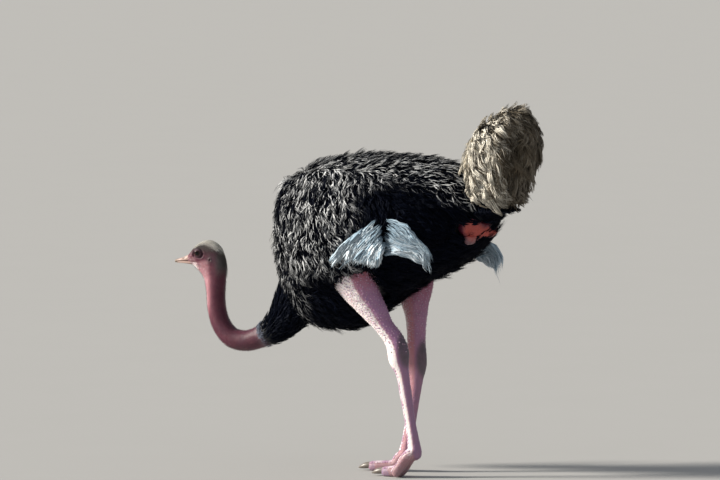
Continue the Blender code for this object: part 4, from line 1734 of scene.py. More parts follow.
# Buff tail: its cream tips are painted light; its browner body and dark roots are partly the
# plumes' own buff and partly painted shade.
TAIL_BUFF = FeatherFinish(
    "tail_plumage", (0.034, 0.027, 0.018), (0.22, 0.175, 0.12), (1.0, 0.94, 0.82), 0.36, 0.7, 0.2
)
# White plumes: their blue tint and dark roots between the strands are painted shade, their
# near-white tips painted light.
WHITE = FeatherFinish(
    "white_plumage", (0.22, 0.31, 0.39), (0.52, 0.67, 0.78), (0.85, 0.92, 0.98), 0.40, 0.75, 0.2
)
COLLAR_DOWN = FeatherFinish(
    "collar_down", (0.06, 0.065, 0.09), (0.17, 0.19, 0.26), (0.50, 0.56, 0.68), 0.45, 0.75, 0.2
)
# Pale crest down, made brighter than the rest as painted light on the top of the head.
CREST_DOWN = FeatherFinish(
    "crest_down", (0.45, 0.41, 0.35), (0.80, 0.75, 0.66), (1.0, 0.98, 0.92), 0.20, 0.75, 0.2
)
NECK_DOWN = FeatherFinish(
    "neck_down", (0.05, 0.014, 0.020), (0.13, 0.045, 0.060), (0.70, 0.52, 0.54), 0.62, 0.75, 0.2
)
# Head down: its cream tip colour is laid on as painted light along the crown.
DOWN = FeatherFinish(
    "head_down", (0.040, 0.033, 0.033), (0.17, 0.145, 0.135), (0.92, 0.88, 0.79), 0.25, 0.75, 0.2
)


def off_vent(points: Array) -> Array:
    """Where tufts may grow without lying over the bare patch under the tail.

    Args:
        points: their roots.

    Returns:
        0 on the patch and just before it, 1 elsewhere.
    """
    clear = ease(0.95, 1.08, bare_patch(points))
    for shift in (0.030, 0.060, 0.085):
        clear = clear * ease(0.80, 1.0, bare_patch(points + np.array([shift, 0.0, -0.4 * shift])))
    return clear


def off_thighs(points: Array) -> Array:
    """Where the body's tufts may grow beside the thighs.

    Args:
        points: their roots.

    Returns:
        0 where a thigh comes out of the body and 1 elsewhere.
    """
    clear = np.ones(len(points))
    for foot in FEET.values():
        line = foot.leg.middle(np.linspace(0.0, 0.42, 60))
        share, far = nearest(points, line)
        low = line[(share * 59).astype(int), 2] < 0.93
        clear *= np.where(low, ease(0.055, 0.085, far), 1.0)
    return clear


@dataclass
class BodyCoat:
    """The black plumage of the trunk: broad locks below, fine loose strands above."""

    shape: TrunkShape = field(default_factory=TrunkShape)
    locks: Growth = Growth(3300, 0.105, 0.022, thin=0.12, root=0.030, lift=0.0, wave=0.05)
    strands: Growth = Growth(
        7600, 0.062, 0.0040, thin=0.5, root=0.018, lift=0.006, wave=0.20, stray=0.5, steps=4,
        crowd=6, pull=0.65, rough=0.005,
    )
    cuff: Growth = Growth(
        1000, 0.075, 0.0095, thin=0.3, root=0.012, lift=0.004, wave=0.10, stray=0.4, steps=4,
        crowd=5,
    )

    @staticmethod
    def density(roots: Roots) -> Array:
        """Off the bare patch and the thighs, and thin under the wings."""
        hidden = np.any([WingShape(side).hides(roots.points) for side in Side], axis=0)
        return np.where(hidden, 0.05, 1.0) * off_vent(roots.points) * off_thighs(roots.points)

    @staticmethod
    def lie(roots: Roots) -> Array:
        """Back along the body, down over the flanks and down the breast.

        Args:
            roots: the tufts' roots.

        Returns:
            The directions.
        """
        x, front = roots.x, ease(-0.34, -0.50, roots.x)
        rear = ease(0.14, 0.26, x) * ease(0.36, 0.30, x) * ease(1.08, 1.14, roots.z)
        down = 0.45 * np.abs(roots.normal[:, 1]) + 1.3 * front + 0.5 * rear
        return joined(1.0 - 0.75 * front, 0.0, -down)

    @staticmethod
    def plain(roots: Roots) -> Array:
        """No painted glints, for the broad locks beneath."""
        return np.full(len(roots.x), 0.002)

    @staticmethod
    def light(roots: Roots) -> Array:
        """Painted glints, most on the shoulder, along the back and down the breast.

        Args:
            roots: the tufts' roots.

        Returns:
            How many of the tufts have tips painted with highlights.
        """
        x, z = roots.x, roots.z
        back = 0.95 * ease(1.215, 1.275, z + 0.50 * np.clip(x - 0.15, 0, 1)) * ease(0.40, 0.33, x)
        shoulder = ease(-0.06, -0.17, x) * ease(0.83, 0.93, z)
        breast = 0.7 * ease(-0.06, -0.13, x + 0.24 + 0.39 * (0.90 - z))
        patch = 0.80 + 0.45 * ripple(roots.points, 0.075, 91)
        return 0.002 + 0.98 * np.clip(np.maximum(np.maximum(back, shoulder), breast) * patch, 0, 1)

    @staticmethod
    def fringe(roots: Roots) -> Array:
        """Longer tufts low on the belly."""
        return 0.35 * ease(0.30, 0.0, np.abs(roots.around - 0.75) * 4)

    @staticmethod
    def under_tail(roots: Roots) -> Array:
        """Round the foot of the tail."""
        rim = ease(1.21, 1.185, roots.z + 0.15 * (roots.x - 0.42)) * (roots.along > 0.04)
        return rim * (1 - ease(0.43, 0.49, roots.x) * ease(1.105, 1.112, roots.z))

    @staticmethod
    def rump(roots: Roots) -> Array:
        """Down and a little back."""
        return joined(0.25 + 0 * roots.x, 0.0, -1.0)

    def build(self, material: Material) -> list[Object]:
        """The pieces of the trunk's coat.

        Args:
            material: their finish.

        Returns:
            The locks, the strands of the front and of the rear, and the cuff round the tail.
        """
        made = []
        for name, growth, seed, low, high in (
            ("coat_body_locks", self.locks, 11, -9.0, 9.0),
            ("coat_body_front", self.strands, 12, -9.0, -0.10),
            ("coat_body_rear", replace(self.strands, count=6400), 13, -0.12, 9.0),
        ):

            def density(roots: Roots, low: float = low, high: float = high) -> Array:
                """The coat's density on this part of the body."""
                return self.density(roots) * ((roots.x >= low) & (roots.x < high))

            light = self.plain if growth is self.locks else self.light
            piece = grow(self.shape, growth, density, self.lie, seed, light, self.fringe)
            made.append(piece.made(name, material))
        tail = TailShape(inset=0.014, foot=0.03)
        piece = grow(tail, self.cuff, self.under_tail, self.rump, 14, self.plain)
        made.append(piece.made("coat_rump", material))
        return made


@dataclass
class WingCoat:
    """The black plumage of one folded wing, over a thin core."""

    side: Side
    locks: Growth = Growth(1300, 0.120, 0.024, thin=0.12, root=0.026, lift=0.002, wave=0.05)
    strands: Growth = Growth(
        7600, 0.062, 0.0040, thin=0.5, root=0.014, lift=0.008, wave=0.22, stray=0.5, steps=4,
        crowd=6, pull=0.65, rough=0.006,
    )

    def density(self, roots: Roots) -> Array:
        """On the outer face and its edges."""
        return ease(-0.45, -0.15, np.cos(TAU * roots.around) * self.side.value)

    @staticmethod
    def lie(roots: Roots) -> Array:
        """Nearly straight down at the shoulder, turning back over the flank."""
        front, rear = ease(-0.30, -0.47, roots.x), ease(-0.06, 0.16, roots.x)
        return joined(0.36 - 0.30 * front + 0.70 * rear, 0.0, -1.0 + 0.45 * rear)

    def build(self, material: Material) -> Object:
        """The wing's coat.

        Args:
            material: its finish.

        Returns:
            The coat and its core as one piece.
        """
        parts = [grid_piece(WingShape(self.side, inset=0.024).rings(40, 28), 0.2, 0.0, 0.1)]
        for growth, seed, light in (
            (self.locks, 21, BodyCoat.plain),
            (self.strands, 22, BodyCoat.light),
        ):
            seed += self.side.value
            parts.append(grow(WingShape(self.side), growth, self.density, self.lie, seed, light))
        wing = Piece.join(parts).made(f"coat_wing_{self.side.word}", material)
        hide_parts(f"wing_{self.side.word}")
        return wing


@dataclass
class NeckCoat:
    """The black plumage of the base of the neck, ended by a pale collar of down."""

    locks: Growth = Growth(900, 0.075, 0.020, thin=0.12, root=0.018, lift=0.0, wave=0.05)
    strands: Growth = Growth(
        2700, 0.055, 0.0042, thin=0.5, root=0.012, lift=0.004, wave=0.08, stray=0.3, steps=4,
        crowd=6,
    )
    collar: Growth = Growth(
        900, 0.017, 0.0016, thin=0.5, root=0.002, lift=0.002, wave=0.08, stray=0.35, steps=3
    )

    @staticmethod
    def lie(roots: Roots) -> Array:
        """Back along the neck, towards the body."""
        return -roots.forth

    @staticmethod
    def base(roots: Roots) -> Array:
        """Up to the collar."""
        return ease(COLLAR + 0.004, COLLAR - 0.012, roots.along)

    @staticmethod
    def ring(roots: Roots) -> Array:
        """A band at the collar, thin on its underside."""
        above = ease(-0.4, 0.5, np.sin(TAU * roots.around))
        return bell(roots.along, COLLAR + 0.004, 0.010) * (0.12 + 0.88 * above)

    @staticmethod
    def light(roots: Roots) -> Array:
        """Few painted glints."""
        return 0.004 + 0.05 * ease(0.10, 0.0, roots.along)

    def build(self, black: Material, pale: Material) -> list[Object]:
        """The neck's plumage.

        Args:
            black: the finish of the base's coat.
            pale: the finish of the collar.

        Returns:
            The base's coat and the collar.
        """
        locks = grow(NECK_TUBE, self.locks, self.base, self.lie, 31, self.light)
        strands = grow(NECK_TUBE, self.strands, self.base, self.lie, 32, self.light)
        down = grow(NECK_TUBE, self.collar, self.ring, self.lie, 33)
        coat = Piece.join([locks, strands]).made("coat_neck_base", black)
        return [coat, down.made("coat_collar", pale)]


@dataclass
class TailCoat:
    """The buff tail: locks that droop round a dark core of painted shade, finer strands over them.
    """

    locks: Growth = Growth(
        1200, 0.115, 0.016, thin=0.3, root=0.036, lift=0.002, wave=0.16, droop=0.03, swirl=0.07
    )
    strands: Growth = Growth(
        5500, 0.100, 0.0046, thin=0.5, root=0.022, lift=0.010, wave=0.24, droop=0.04, stray=0.34,
        crowd=15, pull=0.92, swirl=0.06, rough=0.011,
    )

    @staticmethod
    def lie(roots: Roots) -> Array:
        """Down, and to the rear over the front half."""
        lean = 0.10 + 0.70 * ease(0.53, 0.36, roots.x) + 0.25 * ease(1.36, 1.46, roots.z)
        return joined(lean, 0.15 * np.sign(roots.y), -1.0)

    @staticmethod
    def light(roots: Roots) -> Array:
        """Painted light and shade: bright tips on the front, painted shade behind, in the hollow
        and low down.

        Args:
            roots: the tufts' roots.

        Returns:
            How many of the tufts have tips painted light.
        """
        # dull, the hollow and the low part are painted shade
        dull = ease(0.445, 0.515, roots.x + 0.10 * (roots.z - 1.35))
        hollow = TailShape.hollow(roots.along, roots.around, 0.07, 0.62, 0.2)
        dark = 0.86 * dull + 0.35 * hollow + 0.45 * ease(1.225, 1.175, roots.z)
        return np.clip(1.0 - dark + 0.22 * ripple(roots.points, 0.08, 92), 0.02, 1)

    @staticmethod
    def shade(roots: Roots) -> Array:
        """Painted shade all over, for the locks that lie under the strands."""
        return 0.18 * TailCoat.light(roots)

    @staticmethod
    def fringe(roots: Roots) -> Array:
        """Longer at the ragged foot and shorter at the top."""
        return 0.25 * ease(1.28, 1.18, roots.z) - 0.35 * ease(1.44, 1.54, roots.z)

    def build(self, material: Material) -> list[Object]:
        """The tail's plumage.

        Args:
            material: its finish.

        Returns:
            Its two halves, the left one with the core.
        """
        shape, made = TailShape(inset=0.011), []
        # the core takes only the root colour: a dark mass of painted shade inside the tail
        parts = [grid_piece(TailShape(inset=0.045).rings(30, 40), 0.2, 0.0, 0.1)]
        for side in Side:

            def half(roots: Roots, sign: int = side.value) -> Array:
                """One side of the tail."""
                high = roots.along + 0.09 * ease(0.43, 0.50, roots.x)
                return (roots.y * sign > 0) * ease(0.20, 0.24, high)

            for growth, seed, light in (
                (self.locks, 41, self.shade),
                (self.strands, 44, self.light),
            ):
                seed += side.value
                parts.append(grow(shape, growth, half, self.lie, seed, light, self.fringe))
            made.append(Piece.join(parts).made(f"coat_tail_{side.word}", material))
            parts = []
        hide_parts("tail")
        return made


@dataclass
class PlumeCoat:
    """The white plumes of one wing: strands run along guide lines in two bunches."""

    side: Side
    locks: Growth = Growth(260, 0.0, 0.013, thin=0.2, steps=6, blunt=0.75)
    strands: Growth = Growth(1700, 0.0, 0.0030, thin=0.6, steps=6, blunt=0.6)
    fluff: Growth = Growth(420, 0.0, 0.0020, thin=0.6, steps=5, blunt=0.6)
    feathers: int = 11  # how many plumes a bunch is parted into
    trail: float = 0.0  # how much further back the rear tips reach than the guides
    drop: float = 0.0  # how much lower they hang

    def bunch(self, guides: list, growth: Growth, seed: int) -> Piece:
        """Strands of one bunch.

        A strand is the sum over guides g and points p of Wg(t) Wp(s) G[g, p], with
        Catmull-Rom weights W, its share t across the bunch and s from root to tip.

        Args:
            guides: the guide lines, as shares of the node's length and height.
            growth: the kind of strand.
            seed: picks the places.

        Returns:
            The strands.
        """
        rng, net = np.random.default_rng(seed), np.array(guides)
        front, loose, side = guides is FRONT_BUNCH, growth is self.fluff, self.side.value
        count = int(growth.count * (1.0 if self.side is Side.LEFT else 0.9))
        across = rng.uniform(0, 1, count) ** (1.0 if front else 1.9)
        plume = np.minimum((across * self.feathers).astype(int), self.feathers - 1)
        ragged = np.random.default_rng(50).normal(0, 1, (2, self.feathers))[:, plume]
        start = rng.uniform(*((0.1, 0.78) if loose else (-0.10, 0.60)), count)
        span = rng.uniform(*((0.12, 0.30) if loose else (0.3, 0.85)), count)
        start = start + 0.07 * ragged[0]
        last = rng.normal(0.92, 0.05, count) + 0.06 * ragged[1]
        end = start + span if loose else np.maximum(np.minimum(start + span, last), start + 0.2)
        share = start[:, None] + (end - start)[:, None] * np.linspace(0, 1, growth.steps + 1)
        fan = (share - start[:, None]) / 0.6
        over = across[:, None] + rng.normal(0, 0.25 if loose else 0.07, (count, 1)) * fan
        gather = 0.45 * np.clip(np.abs(share - 0.35) * 1.6, 0, 1)
        over += gather * ((plume + 0.5) / self.feathers - across)[:, None]
        mixed = weights(len(net), over)
        flat = np.einsum("nkg,nkp,gpc->nkc", mixed, weights(net.shape[1], share), net)
        before, beyond = np.minimum(share, 0) * 4, np.maximum(share - 1, 0) * 4
        flat += before[..., None] * (mixed @ (net[:, 1] - net[:, 0]))
        flat += beyond[..., None] * (mixed @ (net[:, -1] - net[:, -2]))
        low, high = (np.array(corner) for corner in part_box("plumes_left"))
        back, up = columns(flat)
        x = low[0] - PLACE[0] + back * (high[0] - low[0]) + self.trail * back
        z = low[2] + up * (high[2] - low[2]) - self.drop * np.maximum(back, 0) ** 1.5
        swell = np.sin(math.pi * np.clip(share, 0, 1)) * 0.016
        depth = rng.uniform(-0.014, 0.008, (count, 1))
        y = 0.262 + 0.026 * ease(0.75, 0.0, share) + swell + depth * (0.4 + share) + 0.020 * front
        spine = joined(x, side * y, z)
        spine += 0.004 * ripple(spine, 0.05, seed)[..., None] * np.array([1.0, 0.5, 1.0])
        curl = rng.normal(0, 0.0022, (count, 1)) * np.sin(5.5 * fan)
        spine += curl[..., None] * np.array([0.7, 0.6 * side, 0.7])
        normal = np.broadcast_to(np.array([0.0, side, 0.0]), spine.shape)
        width = growth.width * rng.uniform(0.7, 1.3, count)
        # painted light: each bunch's tips are brighter towards one edge of it
        light = 0.4 + 0.6 * across if front else 0.95 - 0.80 * across
        return tuft_piece(spine, normal, width, growth, flat[:, 0], rng.uniform(0, 1, count), light)

    def build(self, material: Material) -> Object:
        """The plumes of the wing.

        Args:
            material: their finish.

        Returns:
            Both bunches as one piece.
        """
        parts = []
        for k, guides in enumerate((FRONT_BUNCH, REAR_BUNCH)):
            for growth, seed in ((self.locks, 51), (self.strands, 55), (self.fluff, 57)):
                parts.append(self.bunch(guides, growth, seed + k))
        plumes = Piece.join(parts).made(f"coat_plumes_{self.side.word}", material)
        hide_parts(f"plumes_{self.side.word}")
        return plumes


@dataclass
class HeadCoat:
    """Hair-like down on the crown and nape, thin on the neck, and the lashes."""

    crown: Growth = Growth(
        6100, 0.0085, 0.0006, thin=0.8, root=0.0035, lift=0.001, wave=0.10, stray=0.45, steps=3
    )
    neck: Growth = Growth(
        3700, 0.009, 0.0005, thin=0.8, root=0.004, lift=0.000, wave=0.10, stray=0.40, steps=3
    )
    crest: Growth = Growth(
        2100, 0.0100, 0.0009, thin=0.8, root=0.0035, lift=0.0025, wave=0.10, stray=0.45, steps=3
    )

    @staticmethod
    def on_head(roots: Roots) -> Array:
        """Thick on the crown, thin on cheeks and jaw, none by the eyes and the bill.

        Args:
            roots: the tufts' roots.

        Returns:
            How thick they stand.
        """
        x, z = roots.x, roots.z
        high = ease(0.895, 0.940, z - 0.3 * np.clip(x + 0.85, 0, 1))
        nape = ease(-0.835, -0.80, x) * ease(0.80, 0.89, z)
        clear = ease(0.020, 0.026, np.hypot(x - EYE_CENTRE[0], z - EYE_CENTRE[2]))
        return (0.06 + np.maximum(high, nape)) * clear * (roots.along < 0.86)

    @staticmethod
    def on_neck(roots: Roots) -> Array:
        """From the collar to the head."""
        return ease(COLLAR, COLLAR + 0.03, roots.along)

    @staticmethod
    def on_ridge(roots: Roots) -> Array:
        """Along the top of the head, from the brow to the crown."""
        middle = ease(0.036, 0.022, np.abs(roots.y)) * ease(0.916, 0.930, roots.z)
        return middle * ease(-0.800, -0.830, roots.x) * (roots.along < 0.80)

    @staticmethod
    def tips(roots: Roots) -> Array:
        """Painted light: pale tips along the top of the crown and the crest, painted shade on the
        nape and the cheeks.
        """
        crest = ease(0.0305, 0.018, np.abs(roots.y)) * ease(0.90, 0.925, roots.z)
        return 0.06 + 0.94 * np.maximum(ease(0.938, 0.955, roots.z), crest)

    @staticmethod
    def dull(roots: Roots) -> Array:
        """Dull on the neck."""
        return np.full(len(roots.x), 0.22)

    @staticmethod
    def full(roots: Roots) -> Array:
        """Painted light: pale all along the crest."""
        return np.ones(len(roots.x))

    def build(self, down: Material, thin: Material, pale: Material) -> list[Object]:
        """The down of the head and of the neck.

        Args:
            down: the finish of the head's down.
            thin: that of the neck's.
            pale: that of the crest, painted light.

        Returns:
            One piece for each.
        """
        made = []
        for name, shape, growth, density, seed, light, finish in (
            ("down_head", HeadShape(), self.crown, self.on_head, 61, self.tips, down),
            ("down_crest", HeadShape(), self.crest, self.on_ridge, 63, self.full, pale),
            ("down_neck", NECK_TUBE, self.neck, self.on_neck, 62, self.dull, thin),
        ):
            piece = grow(shape, growth, density, NeckCoat.lie, seed, light)
            made.append(piece.made(name, finish))
        return made

    @staticmethod
    def lashes(material: Material) -> Object:
        """Bristles that stand out from the rims of the lids and curl up at their tips.

        Each root is on the opening's rim, centre + (a cos t, b sin t), on the ball's surface.

        Args:
            material: their finish.

        Returns:
            The lashes of both eyes as one piece.
        """
        turn = np.r_[np.linspace(0.06, 0.94, 34), np.linspace(1.15, 1.85, 16)][:, None] * math.pi
        above, s = np.sin(turn) > 0, np.linspace(0, 1, 6)[None]
        ahead, up = Skin.eye_length * np.cos(turn), Skin.eye_height * np.sin(turn)
        x = EYE_CENTRE[0] - ahead * math.cos(EYE_TILT) - up * math.sin(EYE_TILT)
        z = EYE_CENTRE[2] - ahead * math.sin(EYE_TILT) + up * math.cos(EYE_TILT)
        gap = np.hypot(x - EYE_CENTRE[0], z - EYE_CENTRE[2])
        y = EYE_CENTRE[1] + np.sqrt(EYE_RADIUS**2 - gap**2) + 0.0012
        long = np.where(above, 0.0105, 0.006)
        fan = (0.55 * s + 0.25 * s * s) * long
        rise = fan * np.where(above, 0.9, -0.7) - 0.0025 * np.sin(math.pi * s)
        growth, full = Growth(0, 0.0, 0.0, thin=0.9, blunt=0.4), np.ones(len(turn))
        parts = []
        for side in Side:
            out = side.value * (y + 0.75 * s * long)
            spine = joined(x - fan * np.cos(turn), out, z + rise)
            normal = np.broadcast_to(np.array([0.0, 0.0, 1.0]), spine.shape)
            chart = joined(x, z)[:, 0]
            parts.append(tuft_piece(spine, normal, 0.0007 * full, growth, chart, full, 0 * full))
        return Piece.join(parts).made("lashes", material)


def pebbles(material: Material) -> list[Object]:
    """The goose flesh of the thighs: low round bumps, thickest in front and painted pale there as
    lit.

    Args:
        material: their finish.

    Returns:
        One piece for each leg.
    """
    made, count = [], 1900
    bumps = Growth(count, 0.0, 0.0058, thin=1.0, sides=5, steps=3, blunt=0.75)

    def thick(roots: Roots) -> Array:
        """From the feathers down to the ankle, most in front and outside."""
        front = 0.25 + 0.75 * ease(-0.2, 0.9, np.sin(TAU * roots.around))
        return front * ease(0.93, 0.86, roots.z) * ease(0.50, 0.62, roots.z)

    for side, foot in FEET.items():
        roots, rng = scatter(foot.leg, count, thick, 71), np.random.default_rng(72)
        high = rng.uniform(0.0010, 0.0028, count)[:, None] * np.array([-0.6, 0.1, 0.75, 1.0])
        spine = roots.points[:, None] + roots.normal[:, None] * high[..., None]
        flat = np.broadcast_to(np.array([0.0, 0.0, 1.0]), spine.shape)
        width = rng.uniform(0.6, 1.2, count) * bumps.width
        # painted light: the bumps take the pale colour in front, towards the key light
        light = 0.15 + 0.8 * ease(0.1, 0.9, np.sin(TAU * roots.around))
        chart = joined(roots.along, roots.around % 1.0)
        bump = tuft_piece(spine, flat, width, bumps, chart, rng.uniform(0, 1, count), light)
        bump.reach *= 0.0
        made.append(bump.made(f"pebbles_{side.word}", material))
    return made


# ---- bill, eyes and feet
@dataclass
class Bill:
    """The broad flat bill, its halves nearly closed, with nostrils and a nail."""

    def rings(self, rows: Array, arch: int) -> Array:
        """Sections of one half: y = half cos(t), z = middle + high sin(t), flat where they meet.

        Args:
            rows: its sizes along.
            arch: 1 for the upper half and -1 for the lower.

        Returns:
            The points.
        """
        track, share, turn = Track(rows, places=1), np.linspace(0.0, 1.0, 60), turned_by(48)
        eased = 0.35 * share + 0.65 * np.sin(share * math.pi / 2)
        x, half, top, bottom = columns(track.sample(eased * track.at[-1])[:, None])
        rise = np.where(np.sin(turn) * arch > 0, np.sin(turn), bent(np.sin(turn), 0.45))
        y = half * bent(np.cos(turn), 0.85)
        return joined(x, y, (top + bottom) / 2 + (top - bottom) / 2 * rise)

    def build(self, material: Material) -> list[Object]:
        """The two halves.

        Args:
            material: their finish.

        Returns:
            The upper half, with its nostrils, ridge and nail, and the lower.
        """
        made = []
        for name, rows, arch in (("bill_upper", UPPER_BILL, 1), ("bill_lower", LOWER_BILL, -1)):
            x, y, z = columns(self.rings(rows, arch))
            back, above = (x + 0.9815) / 0.0085, (z - 0.8842) / 0.0024
            slit = bell(back, 0.0, 1.0) * bell(above, 0.15 * back, 1.0) * (arch > 0)
            y = y * (1 - 0.20 * slit)
            if arch > 0:
                z = z + 0.0008 * bell(y, 0.0, 0.006) * (z > 0.874)
                z = z + 0.0007 * ease(-1.010, -1.016, x) * (z > 0.869)
            piece = grid_piece(joined(x, y, z))
            piece.light = ease(-0.99, -1.025, piece.points[:, 0]) * 0.9
            # reach carries the nostril slit, painted dark as shade
            piece.reach = np.r_[0.0, slit.ravel(), 0.0]
            half = piece.made(f"horn_{name}", material)
            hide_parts(name)
            made.append(half)
        return made


@dataclass
class Eye:
    """One eyeball with its clear bulge in front."""

    side: Side

    def build(self, material: Material) -> Object:
        """A ball whose radius swells by 5% of R over the iris, its poles across the head.

        Args:
            material: its finish.

        Returns:
            The object.
        """
        polar = np.linspace(0.02, math.pi - 0.02, 48)[:, None]
        radius = EYE_RADIUS * (1 + 0.05 * bell(polar, 0.0, 0.42))
        points = EYE_CENTRE + radius[..., None] * facing(polar, turned_by(48))
        piece = grid_piece(points * np.array([1, self.side.value, 1]))
        piece.reach = np.r_[0.0, np.repeat(polar.ravel(), 48), math.pi]
        eye = piece.made(f"eyeball_{self.side.word}", material)
        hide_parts(f"eye_{self.side.word}")
        return eye


@dataclass
class Feet:
    """The claws and the scales of both feet."""

    length: float = 0.060
    half: float = 0.0150

    def claw(self, foot: FootShape) -> Array:
        """Rings of a blunt nail that arches down to just off the floor.

        Args:
            foot: the foot it is on.

        Returns:
            The points.
        """
        track = foot.middle_toe.track
        x, y, z = track.sample(np.array([0.93 * track.at[-1]]))[0, :3]
        share, turn = np.linspace(0.0, 1.0, 26)[:, None], turned_by(28)
        half = (self.half * (1 - share**3) + 0.0015) * (1 + 0.02 * np.cos(9 * turn))
        out, ahead = half * np.cos(turn), share * self.length
        cos_h, sin_h = math.cos(foot.heading), math.sin(foot.heading)
        high = np.maximum(z - 0.55 * z * share**2 + 0.85 * half * np.sin(turn), 0.0012)
        return joined(x - cos_h * ahead - sin_h * out, y + sin_h * ahead - cos_h * out, high)

    @staticmethod
    def scutes(shape: TubeShape, low: float, high: float, pitch: float, spread: float) -> Piece:
        """A row of overlapping plates along the front of a tube.

        Each plate is a pad over its own share a along and b round: its height above the skin
        is sqrt(1 - (2a - 1)^6) by the root of the sine round it, thicker at its lower edge.

        Args:
            shape: the tube.
            low: the share along at which the row starts.
            high: the share at which it ends.
            pitch: the length of a plate in metres.
            spread: how far round it reaches on each side, as a share.

        Returns:
            The plates as one piece.
        """
        count = max(2, int((high - low) * shape.track.at[-1] / pitch))
        a, turn = np.linspace(0, 1, 6)[:, None], turned_by(20)
        over = np.sin(turn)
        wide = spread * bent(np.cos(turn), 0.8) * (1 - 0.35 * (2 * a - 1) ** 2)
        height = 0.0022 * (0.35 + 0.65 * a) * np.sqrt(np.clip(1 - (2 * a - 1) ** 6, 0, 1))
        height = np.where(over > 0, height * bent(over, 0.4), -0.0015 * np.abs(over))
        reach = (high - low) / count * (0.06 + 1.12 * a) + 0 * turn
        pads = []
        for k, here in enumerate(np.linspace(low, high, count)):
            along, around = np.minimum(here + reach, 0.995), 0.25 + 0.012 * math.sin(2.7 * k) + wide
            points = shape.at(along, around) + shape.outward(along, around) * height[..., None]
            points[..., 2] = np.maximum(points[..., 2], 0.0006)
            pad = grid_piece(points, light=0.35 + 0.3 * math.sin(5.1 * k))
            u, v = columns(pad.chart)
            pad.chart = joined(here + 0.003 * u, 0.5 + 0.9 * (v - 0.5))
            pads.append(pad)
        return Piece.join(pads)

    def build(self, horn: Material, scale: Material) -> list[Object]:
        """The claws and scales.

        Args:
            horn: the claws' finish.
            scale: the scales' finish.

        Returns:
            The claw and the scales of each foot in turn.
        """
        made = []
        for side, foot in FEET.items():
            claw = grid_piece(self.claw(foot), light=0.35).made(f"nail_{side.word}", horn)
            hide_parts(f"claw_{side.word}")
            rows = [
                self.scutes(foot.leg, 0.60, 0.94, 0.0125, 0.155),
                self.scutes(foot.middle_toe, 0.10, 0.93, 0.0105, 0.15),
                self.scutes(foot.outer_toe, 0.10, 0.93, 0.0095, 0.15),
            ]
            made += [claw, Piece.join(rows).made(f"scutes_{side.word}", scale)]
        return made


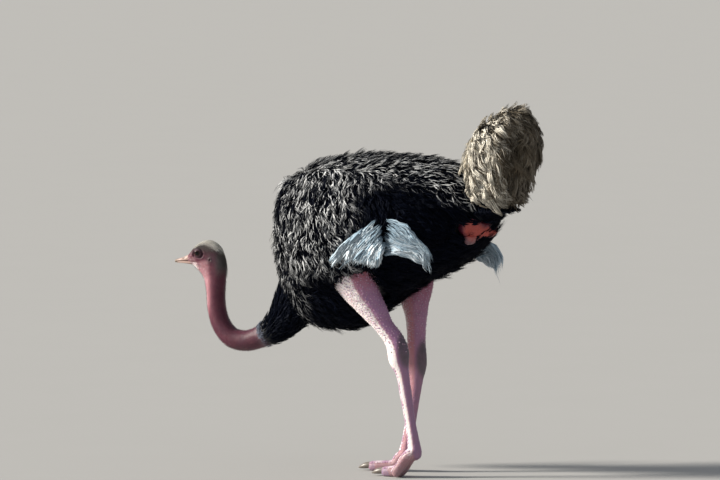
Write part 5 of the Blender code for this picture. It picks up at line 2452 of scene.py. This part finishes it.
# ---- studio
@dataclass
class Studio:
    """The camera, the soft light and the floor."""

    azimuth: float = math.radians(22)
    elevation: float = math.radians(4)
    distance: float = 27.0
    width: float = 3.024

    def camera(self) -> None:
        """A long lens from the bird's left front."""
        sin_a, cos_a = math.sin(self.azimuth), math.cos(self.azimuth)
        sin_e, cos_e = math.sin(self.elevation), math.cos(self.elevation)
        right = Vector((cos_a, sin_a, 0))
        up = Vector((-sin_a * sin_e, cos_a * sin_e, cos_e))
        back = Vector((sin_a * cos_e, -cos_a * cos_e, sin_e))
        aim = Vector((PLACE[0], 0, 0)) - 0.168 * right + 0.9828 * up
        lens = bpy.data.cameras.new("camera")
        lens.sensor_width = 36.0
        lens.lens = 36.0 * self.distance / self.width
        lens.clip_start, lens.clip_end = 1.0, 1000.0
        camera = bpy.data.objects.new("camera", lens)
        camera.matrix_world = Matrix.Translation(aim + back * self.distance) @ (
            (-back).to_track_quat("-Z", "Y").to_matrix().to_4x4()
        )
        bpy.context.scene.collection.objects.link(camera)
        bpy.context.scene.camera = camera

    def lights(self) -> None:
        """A soft warm key from before the bird, and an even pale sky that fills the shade."""
        lamp = bpy.data.lights.new("key", "SUN")
        lamp.energy, lamp.angle, lamp.color = 6.4, math.radians(9), (1.0, 0.95, 0.86)
        key = bpy.data.objects.new("key", lamp)
        key.rotation_mode = "QUATERNION"
        key.rotation_quaternion = Vector((0.814, 0.362, -0.454)).to_track_quat("-Z", "Y")
        bpy.context.scene.collection.objects.link(key)
        world = bpy.data.worlds.new("studio")
        world.use_nodes = True
        world.node_tree.nodes["Background"].inputs[0].default_value = (0.88, 0.93, 1.0, 1)
        world.node_tree.nodes["Background"].inputs[1].default_value = 0.40
        bpy.context.scene.world = world
        bpy.context.scene.view_settings.view_transform = "Standard"

    def floor(self) -> None:
        """A wide pale disc just under the feet."""
        turn = turned_by(96)[0]
        mesh = bpy.data.meshes.new("floor")
        rim = joined(160 * np.cos(turn), 160 * np.sin(turn), -0.0005)
        mesh.from_pydata(rim, [], [list(range(96))])
        mesh.materials.append(FloorFinish().made())
        floor = bpy.data.objects.new("floor", mesh)
        bpy.context.scene.collection.objects.link(floor)


def ride(pieces: list[Object]) -> None:
    """Sets pieces on the bird's one body.

    Args:
        pieces: the pieces.
    """
    for piece in pieces:
        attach(piece, "root")


def main() -> None:
    """Builds the bird and its studio, piece by piece."""
    logging.basicConfig(level=logging.INFO, format="%(message)s")
    black, buff, white, down = (f.made() for f in (BLACK, TAIL_BUFF, WHITE, DOWN))
    # the leg scales' pale colour is worn horn on the scutes and painted light on the pebbles
    scale = HornFinish("leg_scales", (0.40, 0.21, 0.34), (0.97, 0.88, 0.88), 0.5).made()
    skin = Skin().build(SkinFinish().made())
    flesh = ["trunk", "vent", "neck_base", "neck_low", "neck_rise", "neck_top", "head"]
    for side in Side:
        parts = ("drumstick", "shank", "toe_middle", "toe_outer")
        flesh += [f"{part}_{side.word}" for part in parts]
    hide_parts(*flesh)
    ride([skin])
    ride(BodyCoat().build(black))
    ride([WingCoat(side).build(black) for side in Side])
    base, collar = NeckCoat().build(black, COLLAR_DOWN.made())
    ride([base])
    ride([collar])
    ride(TailCoat().build(buff))
    left = PlumeCoat(Side.LEFT).build(white)
    right = PlumeCoat(Side.RIGHT, trail=0.120, drop=0.055).build(white)
    ride([left, right])
    ride(HeadCoat().build(down, NECK_DOWN.made(), CREST_DOWN.made()))
    ride([HeadCoat.lashes(black)])
    ride(pebbles(scale))
    bill = HornFinish("bill_horn_worn", (0.52, 0.36, 0.31), (0.22, 0.17, 0.13))
    ride(Bill().build(bill.made()))
    ride([Eye(side).build(EyeFinish().made()) for side in Side])
    claw = HornFinish("claw_horn_worn", (0.10, 0.085, 0.075), (0.30, 0.26, 0.22))
    feet = Feet().build(claw.made(), scale)
    ride(feet[0::2])
    ride(feet[1::2])
    studio = Studio()
    studio.camera()
    studio.lights()
    studio.floor()


if __name__ == "__main__":
    main()
